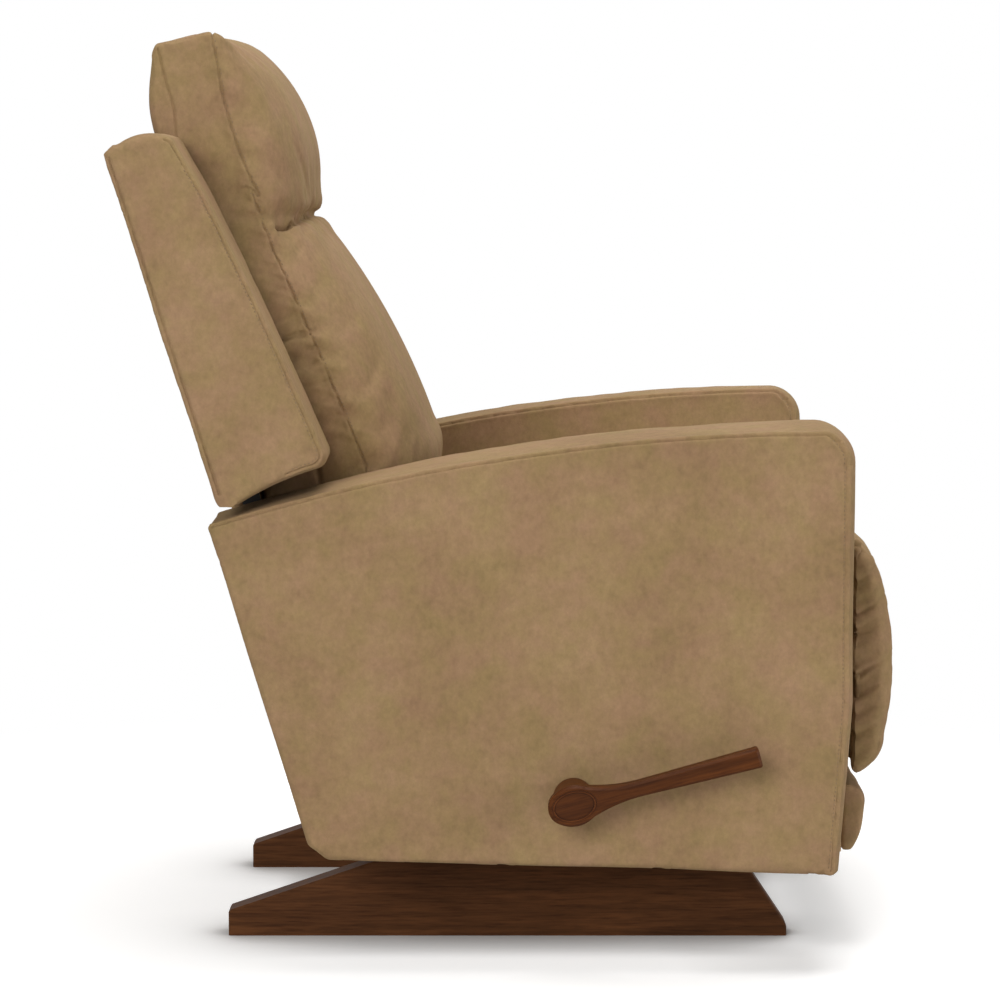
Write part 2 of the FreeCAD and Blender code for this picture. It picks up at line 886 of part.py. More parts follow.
def make_linkage(pivots):
    low, high = layer(1)
    holes = [pivots[name] for name in ("rear_link", "knee", "pad_link_knee", "drive")]
    rear = strap(low, high, (pivots["rear_link"], pivots["knee"]), link_width)
    rear = rear.fuse(strap(low, high, (pivots["knee"], pivots["pad_link_knee"]), slim_link_width))
    rear = rear.fuse(strap(low, high, (pivots["rear_link"], pivots["drive"]), slim_link_width))
    rear = drilled(rear.removeSplitter(), holes, pin_radius)
    save_sides("rear_link", rear)
    rivets = [pin(pivots["knee"], 1, 2), pin(pivots["pad_link_knee"], 1, 4), pin(pivots["drive"], 1, 2)]
    save_pair("rear_link_rivets", *rivets)

    low, high = layer(2)
    front = strap(low, high, (pivots["knee"], pivots["pad"]), link_width)
    front = front.fuse(strap(low, high, (pivots["knee"], pivots["tail"]), slim_link_width))
    front = drilled(front.removeSplitter(), [pivots["knee"], pivots["pad"]], pin_radius)
    save_sides("front_link", front)
    drive = strap(low, high, (pivots["drive"], pivots["crank"]), slim_link_width)
    save_pair("drive_links", drilled(drive, [pivots["drive"], pivots["crank"]], pin_radius))

    low, high = layer(3)
    control = strap(low, high, (pivots["control"], pivots["tail"]), slim_link_width)
    control = drilled(control, [pivots["control"]], pin_radius)
    save_pair("control_links", control)

    low, high = layer(4)
    pad_link = strap(low, high, (pivots["pad_link_knee"], pivots["pad_link_pad"]), slim_link_width)
    holes = [pivots["pad_link_knee"], pivots["pad_link_pad"]]
    save_pair("pad_links", drilled(pad_link, holes, pin_radius))


def make_leg_rest(pivots):
    board = box(
        (leg_board_rear, leg_board_rear + leg_board_thick),
        (-leg_board_half, leg_board_half),
        (leg_board_low, leg_board_top),
    )
    save("leg_board", board)

    low, high = layer(3)
    face = leg_board_rear - seat_gap
    half = slim_link_width / 2
    pad, lower = pivots["pad"], pivots["pad_link_pad"]
    plate = prism(
        low,
        high,
        (face, pad[1] - bracket_down),
        (face, pad[1] + bracket_up),
        (pad[0], pad[1] + half),
        ((pad[0] - half, pad[1]), (pad[0] - half, pad[1] - half)),
        (lower[0] - half, lower[1]),
        ((lower[0] - half / 2, lower[1] - half), (lower[0] + half, lower[1] - half)),
    )
    flange = box(
        (face - bracket_flange_thick, face),
        (low - bracket_flange, high),
        (pad[1] - bracket_down, pad[1] + bracket_up),
    )
    bracket = drilled(plate.fuse(flange).removeSplitter(), [pad, lower], pin_radius)
    save_sides("leg_bracket", bracket)
    save_pair("leg_rest_pins", pin(pad, 2, 3), pin(lower, 3, 4))

    rear = leg_board_rear + leg_board_thick + seat_gap
    sections = []
    for place in crown_place_shares:
        swell = fullness(place, firm_power, leg_pad_edge_share)
        draw = (leg_pad_top - leg_pad_low) * leg_pad_corner_share * (1 - fullness(place, firm_power))
        low, high = leg_pad_low + draw, leg_pad_top - draw
        front = rear + (leg_pad_front - rear) * swell
        steps = shaped(leg_pad_shares, rear, front, low, high)
        sections.append(outline(leg_pad_half * place, (rear, low), *steps))
    save("leg_pad", lofted(sections))


# Lever on the sitter's right, with the rod that works the linkage on both sides
def turned(shape, angle):
    """Turned about the drive rod's axis, upward positive."""
    shape = shape.copy()
    shape.rotate(Vector(hub_x, 0, hub_z), Vector(0, -1, 0), angle)
    return shape


def oval(y, long, high):
    ellipse = Part.Ellipse(Vector(hub_x, y, hub_z), long, high)
    ellipse.Axis = Vector(0, -1, 0)
    ellipse.XAxis = Vector(1, 0, 0)
    return Part.Face(Part.Wire([ellipse.toShape()]))


def make_lever(pivots):
    outer = -half_width - seat_gap
    boss_face = outer - boss_thick
    lever_face = boss_face - lever_thick

    def lever_outline(y, inset):
        hub = lever_hub - inset
        hub_high = lever_hub_half_height - inset
        neck = lever_neck / 2 - inset
        tip = lever_tip / 2 - inset
        join = (hub * lever_join_shares[0], hub_high * lever_join_shares[1])
        shoulder = (-hub * lever_shoulder_shares[0], hub_high * lever_shoulder_shares[1])
        waist = (lever_neck_place * lever_waist_share, neck * lever_waist_width_share)
        end = lever_length - inset
        bend = lever_tip_round * (1 - diagonal)

        def place(along, across):
            return (hub_x + along, hub_z + across)

        return outline(
            y,
            place(end, tip - lever_tip_round),
            (place(end - bend, tip - bend), place(end - lever_tip_round, tip)),
            place(lever_neck_place, neck),
            (place(*waist), place(*join)),
            (place(0, hub_high), place(*shoulder)),
            (place(-hub, 0), place(shoulder[0], -shoulder[1])),
            (place(0, -hub_high), place(join[0], -join[1])),
            (place(waist[0], -waist[1]), place(lever_neck_place, -neck)),
            place(end - lever_tip_round, -tip),
            (place(end - bend, bend - tip), place(end, lever_tip_round - tip)),
        )

    bevel_y = lever_face + lever_bevel
    lever = lofted([lever_outline(boss_face, 0), lever_outline(bevel_y, 0)])
    cap = lofted([lever_outline(bevel_y, 0), lever_outline(lever_face, lever_bevel)])
    lever = lever.fuse(cap).removeSplitter()
    seat = oval(lever_face + medallion_sink, medallion_long, medallion_high)
    recess = seat.extrude(Vector(0, -lever_thick, 0))
    save("lever", turned(lever.cut(recess), lever_angle))

    slim = medallion_thick - medallion_sink
    plate = oval(lever_face + medallion_sink, medallion_long - running_gap, medallion_high - running_gap)
    plate = plate.extrude(Vector(0, -medallion_thick, 0))
    field = oval(lever_face, medallion_long - medallion_rim, medallion_high - medallion_rim)
    plate = plate.cut(field.extrude(Vector(0, -slim - overrun, 0)))
    save("lever_medallion", turned(plate, lever_angle))

    hub = (hub_x, hub_z)
    boss = rod(hub, boss_radius, boss_face, outer)
    boss = boss.cut(rod(hub, rod_radius + running_gap, boss_face + plate_thick, outer + overrun))
    save("lever_boss", boss)
    save("drive_rod", rod(hub, rod_radius, boss_face + plate_thick, arm_inner))

    low, high = layer(1)
    crank = strap(low, high, (hub, pivots["crank"]), slim_link_width)
    crank = drilled(crank, [hub], rod_radius)
    crank = crank.fuse(rod(pivots["crank"], pin_radius, layer(2)[0], low))
    save_pair("drive_cranks", crank.removeSplitter())


pivots, turns = linkage()
make_base()
make_springs()
make_arms()
make_cams()
make_plates(pivots)
make_rails()
make_seat()
make_back()
make_linkage(pivots)
make_leg_rest(pivots)
make_lever(pivots)

print(f"sideways shift {side_shift:.3f}, rocking axis at x {rock_x:.3f}, z {rock_z:.3f}")
for name, (x, z) in pivots.items():
    print(f"pivot {name}: x {x:.3f}, z {z:.3f}")
for name, angle in turns.items():
    print(f"turn {name}: {angle:.3f} degrees")
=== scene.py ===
"""Looks of the upholstered rocker recliner, in metres, in the row's own frame.

+X is the way the sitter faces, +Y is to the sitter's left and +Z is up. The camera stands on the
sitter's right, where the pull lever is.
"""

import json
import math

import bmesh
import bpy
import numpy as np
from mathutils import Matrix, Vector, noise
from mathutils.bvhtree import BVHTree


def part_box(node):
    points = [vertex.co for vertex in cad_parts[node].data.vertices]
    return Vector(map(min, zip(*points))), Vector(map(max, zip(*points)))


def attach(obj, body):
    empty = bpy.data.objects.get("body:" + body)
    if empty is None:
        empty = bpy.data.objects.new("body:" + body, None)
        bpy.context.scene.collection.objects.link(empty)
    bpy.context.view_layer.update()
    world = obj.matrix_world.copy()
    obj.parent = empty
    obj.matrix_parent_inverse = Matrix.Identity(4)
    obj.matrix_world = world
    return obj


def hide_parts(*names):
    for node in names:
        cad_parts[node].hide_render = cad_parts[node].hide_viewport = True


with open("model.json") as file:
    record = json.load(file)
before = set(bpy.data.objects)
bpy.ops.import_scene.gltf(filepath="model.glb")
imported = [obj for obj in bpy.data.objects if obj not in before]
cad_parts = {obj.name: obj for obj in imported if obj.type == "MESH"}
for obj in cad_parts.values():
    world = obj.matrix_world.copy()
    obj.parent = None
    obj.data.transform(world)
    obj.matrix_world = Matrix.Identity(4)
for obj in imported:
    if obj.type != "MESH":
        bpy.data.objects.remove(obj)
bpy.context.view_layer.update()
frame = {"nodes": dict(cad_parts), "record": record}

# The part's middle plane, and the sides of it
MIDDLE = (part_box("arm_left")[1][1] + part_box("arm_right")[0][1]) / 2
SIDES = (("right", -1.0), ("left", 1.0))

# Sizes of the soft goods
VOXEL = 0.005
FINE_VOXEL = 0.004
SEAM_REACH = 0.012
SEAM_WIDTH = 0.0014
SEAM_DEPTH = 0.0030
SEAM_ROLL = 0.0006
ROW_DEPTH = 0.0009
STITCH_PITCH = 0.0048
STITCH_LENGTH = 0.0032
THREAD_RADIUS = 0.0005
# Along a stitch: the place as a share of half its length, its size, and how deep it dips
STITCH_SHAPE = ((-1, 0.25, 1.6), (-0.5, 1, 0.1), (0.5, 1, 0.1), (1, 0.25, 1.6))
STITCH_SIDES = 5
TOPSTITCH_INSET = 0.0035
EDGE_DROP = 0.0018
ARM_FRONT_DRAW = 0.010
BACK_SEAM_INSET = 0.0055
# The pillow's rear seam, as shares of the pillow's depth and height
REAR_SEAM_SHARES = ((0.085, 0.955), (0.152, 0.773), (0.224, 0.606), (0.246, 0.404), (0.25, 0.2))
CUSHION_SEAM_WIDTH = 0.0012
CUSHION_SEAM_DEPTH = 0.0020
CUSHION_SEAM_ROLL = 0.0003
SEW_REACH = 0.004
CUSHION_SEW_REACH = 0.0055
PANEL_BEND = 0.0105
TUCK_SHARE = 0.97
TUCK_DROP = 0.016

# The cloth simulation: frames, pressure, and how far a cushion swells from a smaller start
FRAMES = 20
PRESSURE = 4.0
CLOTH_SHRINK = 0.006
CLOTH_SLACK = -0.03
CUSHION_CAP = 0.024
PAD_CAP = 0.02
PROUD = 0.002

# How many steps of a path are measured together, and how far off a ray starts
GROUP = 8
RAY_START = 0.1

# Colours of the nap and the thread
NAP_DARK = (0.246, 0.160, 0.080)
NAP_MIDDLE = (0.278, 0.182, 0.093)
NAP_LIGHT = (0.310, 0.206, 0.108)
OLIVE_SHARE = (0.968, 1.010, 0.925)
ROSY_SHARE = (1.036, 0.978, 1.075)
THREAD_TAN = (0.21, 0.135, 0.07)


# Meshes as arrays
def points(mesh):
    flat = np.empty(len(mesh.vertices) * 3)
    mesh.vertices.foreach_get("co", flat)
    return flat.reshape(-1, 3)


def normals(mesh):
    flat = np.empty(len(mesh.vertices) * 3)
    mesh.vertices.foreach_get("normal", flat)
    return flat.reshape(-1, 3)


def place(mesh, co):
    mesh.vertices.foreach_set("co", co.ravel())
    mesh.update()


def copied(name, *nodes):
    """A new object with the shape of these CAD nodes together."""
    made = bmesh.new()
    for node in nodes:
        made.from_mesh(frame["nodes"][node].data)
    bmesh.ops.remove_doubles(made, verts=made.verts, dist=1e-6)
    mesh = bpy.data.meshes.new(name)
    made.to_mesh(mesh)
    made.free()
    piece = bpy.data.objects.new(name, mesh)
    bpy.context.scene.collection.objects.link(piece)
    return piece


def applied(piece):
    """The piece with its modifiers worked into its mesh."""
    bpy.context.view_layer.update()
    evaluated = piece.evaluated_get(bpy.context.evaluated_depsgraph_get())
    mesh = bpy.data.meshes.new_from_object(evaluated)
    mesh.name = piece.name
    piece.modifiers.clear()
    old = piece.data
    piece.data = mesh
    bpy.data.meshes.remove(old)
    return piece


def remeshed(piece, voxel):
    modifier = piece.modifiers.new("remesh", "REMESH")
    modifier.mode = "VOXEL"
    modifier.voxel_size = voxel
    return applied(piece)


def neighbours(mesh):
    edges = np.empty(len(mesh.edges) * 2, np.int32)
    mesh.edges.foreach_get("vertices", edges)
    edges = edges.reshape(-1, 2)
    counts = np.bincount(edges.ravel(), minlength=len(mesh.vertices)).astype(float)
    return edges, np.maximum(counts, 1)[:, None]


def relaxed(piece, steps, share=0.5, where=None):
    """Evens out the voxel steps; where is a weight for each point."""
    mesh = piece.data
    edges, counts = neighbours(mesh)
    co = points(mesh)
    weight = share if where is None else share * where[:, None]
    for step in range(steps):
        total = np.zeros_like(co)
        np.add.at(total, edges[:, 0], co[edges[:, 1]])
        np.add.at(total, edges[:, 1], co[edges[:, 0]])
        co += (total / counts - co) * weight
    place(mesh, co)
    return piece


def plumped(piece, cap):
    """The piece blown up softly by a cloth simulation, with no point moved further than the cap."""
    start = points(piece.data)
    place(piece.data, start - normals(piece.data) * CLOTH_SHRINK)
    cloth = piece.modifiers.new("cloth", "CLOTH")
    settings = cloth.settings
    settings.quality = 5
    settings.mass = 0.3
    settings.tension_stiffness = 12
    settings.compression_stiffness = 12
    settings.shear_stiffness = 6
    settings.bending_stiffness = 0.6
    settings.use_pressure = True
    settings.uniform_pressure_force = PRESSURE
    settings.effector_weights.gravity = 0
    settings.shrink_min = CLOTH_SLACK
    settings.vertex_group_mass = "seams"
    cloth.collision_settings.use_collision = False
    cloth.point_cache.frame_start = 1
    cloth.point_cache.frame_end = FRAMES
    scene = bpy.context.scene
    for number in range(1, FRAMES + 1):
        scene.frame_set(number)
    applied(piece)
    scene.frame_set(1)
    moved = points(piece.data) - start
    length = np.linalg.norm(moved, axis=1)
    limit = cap * np.tanh(length / cap)
    place(piece.data, start + moved * (limit / np.maximum(length, 1e-9))[:, None])
    return piece


# Paths on the surface
class Path:
    """A line through points, with each mesh point's distance to it and place along it."""

    def __init__(self, places):
        self.places = np.array(places, float)
        steps = np.diff(self.places, axis=0)
        self.lengths = np.linalg.norm(steps, axis=1)
        self.starts = np.concatenate(([0], np.cumsum(self.lengths)))

    @property
    def length(self):
        return self.starts[-1]

    def measure(self, co, reach=0.05):
        """Each point's distance and place along the line; beyond the reach the distance is 1."""
        best = np.ones(len(co))
        along = np.zeros(len(co))
        for first in range(0, len(self.lengths), GROUP):
            part = self.places[first : first + GROUP + 1]
            near = np.all((co > part.min(axis=0) - reach) & (co < part.max(axis=0) + reach), axis=1)
            chosen = np.nonzero(near)[0]
            spots = co[chosen]
            for number in range(first, min(first + GROUP, len(self.lengths))):
                length = self.lengths[number]
                if length < 1e-9:
                    continue
                start = self.places[number]
                step = self.places[number + 1] - start
                share = np.clip(((spots - start) @ step) / length**2, 0, 1)
                gap = np.linalg.norm(spots - (start + share[:, None] * step), axis=1)
                nearer = gap < best[chosen]
                best[chosen[nearer]] = gap[nearer]
                along[chosen[nearer]] = self.starts[number] + share[nearer] * length
        return best, along

    def at(self, distance):
        number = int(np.clip(np.searchsorted(self.starts, distance) - 1, 0, len(self.lengths) - 1))
        share = (distance - self.starts[number]) / max(self.lengths[number], 1e-9)
        return self.places[number] * (1 - share) + self.places[number + 1] * share


def curved(places, count=60):
    """A smooth line through a few points, as evenly spaced points."""
    places = [Vector(place) for place in places]
    ends = [places[0] * 2 - places[1]] + places + [places[-1] * 2 - places[-2]]
    found = []
    per = max(2, count // (len(places) - 1))
    for number in range(1, len(ends) - 2):
        a, b, c, d = ends[number - 1 : number + 3]
        for step in range(per):
            t = step / per
            found.append(
                0.5
                * (
                    2 * b
                    + (c - a) * t
                    + (2 * a - 5 * b + 4 * c - d) * t**2
                    + (3 * b - a - 3 * c + d) * t**3
                )
            )
    found.append(places[-1])
    return found


def tree_of(piece):
    made = bmesh.new()
    made.from_mesh(piece.data)
    tree = BVHTree.FromBMesh(made)
    made.free()
    return tree


def solid_tree(nodes):
    """The surface of CAD nodes, to cast rays at and to measure from."""
    made = bmesh.new()
    for name in nodes:
        made.from_mesh(frame["nodes"][name].data)
    tree = BVHTree.FromBMesh(made)
    made.free()
    return tree


def fitted(piece, nodes, share=1.0):
    """Draws the piece a share of the way onto its CAD solids, so that its edges come out crisp."""
    tree = solid_tree(nodes)
    co = points(piece.data)
    for number, spot in enumerate(co):
        near = tree.find_nearest(Vector(spot))[0]
        co[number] += (np.array(near) - spot) * share
    place(piece.data, co)
    return piece


def nearness(piece, paths, reach):
    """A weight for each point, 1 on the paths and 0 beyond the reach."""
    co = points(piece.data)
    weight = np.zeros(len(co))
    for path in paths:
        weight = np.maximum(weight, np.clip(1.5 * (1 - path.measure(co)[0] / reach), 0, 1))
    return weight


def laid(piece, places, reach=0.08):
    """The points moved onto the nearest places of the piece's surface."""
    tree = tree_of(piece)
    found = []
    for spot in places:
        near = tree.find_nearest(Vector(spot), reach)
        if near[0] is not None:
            found.append(near[0])
    return Path(found)


def run(loop, start, end):
    """The part of a side outline from one place to another, forward, then up, then rearward."""
    first = int(np.argmin(np.linalg.norm(loop - np.array(start), axis=1)))
    last = int(np.argmin(np.linalg.norm(loop - np.array(end), axis=1)))
    count = (last - first) % len(loop)
    return [loop[(first + step) % len(loop)] for step in range(count + 1)]


def rim(node, side, inset=0.0, count=160):
    """The side outline of a CAD node at its outermost plane, as (x, z), drawn in by an inset."""
    co = points(frame["nodes"][node].data)
    edge = co[:, 1].min() if side < 0 else co[:, 1].max()
    flat = co[np.abs(co[:, 1] - edge) < 1e-4][:, [0, 2]]
    flat = np.unique(np.round(flat, 5), axis=0)
    centre = flat.mean(axis=0)
    around = np.arctan2(flat[:, 1] - centre[1], flat[:, 0] - centre[0])
    loop = flat[np.argsort(around)]
    loop = np.vstack((loop, loop[:1]))
    travel = np.concatenate(([0], np.cumsum(np.linalg.norm(np.diff(loop, axis=0), axis=1))))
    spots = np.linspace(0, travel[-1], count, endpoint=False)
    even = np.stack([np.interp(spots, travel, loop[:, axis]) for axis in (0, 1)], axis=1)
    ahead = np.roll(even, -2, axis=0) - np.roll(even, 2, axis=0)
    ahead /= np.linalg.norm(ahead, axis=1)[:, None]
    return even + np.stack((-ahead[:, 1], ahead[:, 0]), axis=1) * inset, edge


# Shaping the fabric
def refined(piece, paths, reach=SEAM_REACH, cuts=2):
    """More points near the seams."""
    made = bmesh.new()
    made.from_mesh(piece.data)
    co = points(piece.data)
    near = np.zeros(len(co), bool)
    for path in paths:
        near |= path.measure(co)[0] < reach
    edges = [edge for edge in made.edges if near[edge.verts[0].index] and near[edge.verts[1].index]]
    bmesh.ops.subdivide_edges(made, edges=edges, cuts=cuts, use_grid_fill=True)
    made.to_mesh(piece.data)
    made.free()
    piece.data.update()
    return piece


def sewn(piece, paths, width=SEAM_WIDTH, depth=SEAM_DEPTH, roll=SEAM_ROLL):
    """A sewn line pressed in along each path, with a slight roll of cloth on both sides."""
    co = points(piece.data)
    out = normals(piece.data)
    change = np.zeros(len(co))
    for path in paths:
        gap = path.measure(co)[0]
        change -= depth * np.exp(-((gap / width) ** 2))
        change += roll * np.exp(-(((gap - 3 * width) / (1.8 * width)) ** 2))
    place(piece.data, co + out * change[:, None])
    return piece


def wave(values, seed):
    """Smooth noise along one line, from -1 to 1."""
    return np.array([noise.noise((value, seed, 0.37 * seed)) for value in values]) * 1.6


def puckered(piece, path, pitch, reach, depth, seed, slant=0.0, start=0.0):
    """Gathers that run away from a sewn line and die out over the reach."""
    co = points(piece.data)
    out = normals(piece.data)
    gap, along = path.measure(co, reach * 2.5)
    near = gap < reach * 2.5
    height = np.zeros(len(co))
    fade = np.exp(-((np.maximum(gap[near] - start, 0) / reach) ** 2))
    ripple = wave((along[near] + slant * gap[near]) / pitch, seed)
    ripple += 0.5 * wave((along[near] - slant * gap[near]) / (pitch * 0.53), seed + 7)
    height[near] = depth * ripple * fade
    place(piece.data, co + out * height[:, None])
    return piece


def gathered(piece, path, pitch, reach, depth, seed, slant=0.0):
    """Narrow folds that run in from a sewn line, with fuller cloth between them."""
    co = points(piece.data)
    out = normals(piece.data)
    gap, along = path.measure(co, reach * 2.2)
    near = gap < reach * 2.2
    fade = np.exp(-((gap[near] / reach) ** 2))
    where = (along[near] + slant * gap[near]) / pitch
    fold = np.exp(-((wave(where, seed) / 0.42) ** 2))
    part = np.clip(0.75 + 0.9 * wave(where * 0.37, seed + 3.3), 0.15, 1.2)
    height = np.zeros(len(co))
    height[near] = depth * fade * (0.35 * wave(where * 0.9, seed + 5.1) - fold * part)
    place(piece.data, co + out * height[:, None])
    return piece


def eased(piece, size, depth, seed, stretch=(1, 1, 1)):
    """Broad, low unevenness of stuffed cloth."""
    co = points(piece.data)
    out = normals(piece.data)
    scaled = co * np.array(stretch) / size
    height = np.array([noise.noise((spot[0], spot[1], spot[2] + seed)) for spot in scaled])
    place(piece.data, co + out * (height * depth)[:, None])
    return piece


def tucked(piece, path, width, depth, roll):
    """A long tuck pressed in along a path, deepest in the middle and gone at its ends."""
    co = points(piece.data)
    out = normals(piece.data)
    gap, along = path.measure(co)
    share = np.clip(along / path.length, 0, 1)
    strength = np.sin(math.pi * share) ** 0.5 * (0.4 + 0.6 * np.abs(2 * share - 1))
    change = -depth * np.exp(-((gap / width) ** 2))
    change += roll * np.exp(-(((gap - 3 * width) / (2 * width)) ** 2))
    place(piece.data, co + out * (change * strength)[:, None])
    return piece


def drawn_out(piece, spot, reach, aim):
    """Pulls the cloth about one spot, as where seams come together in a point."""
    co = points(piece.data)
    gap = np.linalg.norm(co - np.array(spot), axis=1)
    co += np.exp(-((gap / reach) ** 2))[:, None] * np.array(aim)
    place(piece.data, co)
    return piece


def smooth(piece):
    flags = np.ones(len(piece.data.polygons), bool)
    piece.data.polygons.foreach_set("use_smooth", flags)
    piece.data.update()
    return piece


def dressed(piece, material, body, nodes=()):
    """Gives a piece its material and its body, and hides the CAD nodes that it stands for."""
    piece.data.materials.clear()
    piece.data.materials.append(material)
    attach(piece, body)
    if nodes:
        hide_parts(*nodes)
    return piece


def stitched(name, piece, paths, material, body, offsets=(0.0,)):
    """Rows of single stitches that lie on the piece beside or along each path."""
    tree = tree_of(piece)
    made = bmesh.new()
    half = STITCH_LENGTH / 2
    for path in paths:
        count = int(path.length / STITCH_PITCH)
        for number in range(count):
            middle = Vector(path.at((number + 0.5) * STITCH_PITCH))
            ahead = Vector(path.at(min((number + 1) * STITCH_PITCH, path.length)))
            along = (ahead - middle).normalized()
            spot, out, face, gap = tree.find_nearest(middle)
            aside = along.cross(out).normalized()
            for offset in offsets:
                near, up, face, gap = tree.find_nearest(spot + aside * offset)
                if near is None:
                    continue
                centre = near + up * (THREAD_RADIUS * 0.4)
                across = up.cross(along).normalized()
                rings = []
                for share, size, drop in STITCH_SHAPE:
                    base = centre + along * (half * share) - up * (THREAD_RADIUS * drop)
                    ring = []
                    for corner in range(STITCH_SIDES):
                        turn = 2 * math.pi * corner / STITCH_SIDES
                        aim = across * math.cos(turn) + up * math.sin(turn)
                        ring.append(made.verts.new(base + aim * (THREAD_RADIUS * size)))
                    rings.append(ring)
                for low, high in zip(rings, rings[1:]):
                    for corner in range(STITCH_SIDES):
                        after = (corner + 1) % STITCH_SIDES
                        made.faces.new((low[corner], low[after], high[after], high[corner]))
                made.faces.new(list(reversed(rings[0])))
                made.faces.new(rings[-1])
    mesh = bpy.data.meshes.new(name)
    made.to_mesh(mesh)
    made.free()
    thread = bpy.data.objects.new(name, mesh)
    bpy.context.scene.collection.objects.link(thread)
    smooth(thread)
    return dressed(thread, material, body)


# Materials
def material(name):
    made = bpy.data.materials.new(name)
    made.use_nodes = True
    tree = made.node_tree
    shader = tree.nodes["Principled BSDF"]
    return made, tree, shader


def node(tree, kind, inputs=None, **settings):
    made = tree.nodes.new(kind)
    for key, value in settings.items():
        setattr(made, key, value)
    for key, value in (inputs or {}).items():
        made.inputs[key].default_value = value
    return made


def noise_of(
    tree, source, scale, detail=4.0, roughness=0.6, stretch=None, distortion=0.0, lean=0.0
):
    """Noise in the object's own coordinates, leant in the side view, as a factor about 0.5."""
    where = source
    if stretch is not None:
        mapping = node(tree, "ShaderNodeMapping", vector_type="TEXTURE")
        mapping.inputs["Scale"].default_value = tuple(1 / value for value in stretch)
        mapping.inputs["Rotation"].default_value = (0, -lean, 0)
        tree.links.new(source, mapping.inputs["Vector"])
        where = mapping.outputs["Vector"]
    inputs = {"Scale": scale, "Detail": detail, "Roughness": roughness, "Distortion": distortion}
    made = node(tree, "ShaderNodeTexNoise", inputs)
    tree.links.new(where, made.inputs["Vector"])
    return made.outputs["Fac"]


def ramp(tree, factor, *stops):
    made = node(tree, "ShaderNodeValToRGB")
    elements = made.color_ramp.elements
    while len(elements) < len(stops):
        elements.new(0.5)
    for element, (position, color) in zip(elements, stops):
        element.position = position
        element.color = (*color, 1)
    tree.links.new(factor, made.inputs["Fac"])
    return made.outputs["Color"]


def mixed(tree, factor, first, second, blend="MIX"):
    made = node(tree, "ShaderNodeMix", data_type="RGBA", blend_type=blend)
    for number, value in ((0, factor), (6, first), (7, second)):
        socket = made.inputs[number]
        if isinstance(value, (int, float)):
            socket.default_value = value
        elif isinstance(value, tuple):
            socket.default_value = (*value, 1)
        else:
            tree.links.new(value, socket)
    return made.outputs[2]


def summed(tree, *parts):
    """The weighted sum of several factors."""
    total = None
    for factor, weight in parts:
        scaled = node(tree, "ShaderNodeMath", {1: weight}, operation="MULTIPLY")
        tree.links.new(factor, scaled.inputs[0])
        if total is None:
            total = scaled.outputs[0]
        else:
            added = node(tree, "ShaderNodeMath", operation="ADD")
            tree.links.new(total, added.inputs[0])
            tree.links.new(scaled.outputs[0], added.inputs[1])
            total = added.outputs[0]
    return total


def bumped(tree, shader, height, distance, strength=1.0):
    bump = node(tree, "ShaderNodeBump", {"Strength": strength, "Distance": distance})
    tree.links.new(height, bump.inputs["Height"])
    tree.links.new(bump.outputs["Normal"], shader.inputs["Normal"])


def microsuede(name):
    """Brushed cloth: a cloudy nap that turns olive and rosy, with flecks and a soft sheen."""
    made, tree, shader = material(name)
    where = node(tree, "ShaderNodeTexCoord").outputs["Object"]
    clouds = noise_of(tree, where, 7.5, 6, 0.62, distortion=0.3)
    hue = noise_of(tree, where, 21, 5, 0.62)
    flecks = noise_of(tree, where, 62, 5, 0.72)
    brushed = noise_of(tree, where, 170, 3, 0.65, stretch=(1, 1, 0.8))
    fibre = noise_of(tree, where, 900, 2, 0.6)
    base = ramp(tree, clouds, (0.30, NAP_DARK), (0.50, NAP_MIDDLE), (0.72, NAP_LIGHT))
    turn = ramp(tree, hue, (0.36, OLIVE_SHARE), (0.64, ROSY_SHARE))
    tinted = mixed(tree, 1.0, base, turn, "MULTIPLY")
    grain = summed(tree, (flecks, 0.5), (brushed, 0.5))
    light = ramp(tree, grain, (0.32, (0.85, 0.85, 0.85)), (0.68, (1.15, 1.15, 1.15)))
    color = mixed(tree, 1.0, tinted, light, "MULTIPLY")
    tree.links.new(color, shader.inputs["Base Color"])
    shader.inputs["Roughness"].default_value = 0.92
    shader.inputs["Specular IOR Level"].default_value = 0.08
    shader.inputs["Sheen Weight"].default_value = 0.07
    shader.inputs["Sheen Roughness"].default_value = 0.4
    shader.inputs["Sheen Tint"].default_value = (0.95, 0.76, 0.5, 1)
    height = summed(tree, (fibre, 0.35), (brushed, 0.35), (flecks, 0.6), (clouds, 0.8))
    bumped(tree, shader, height, 0.0009, 0.5)
    return made


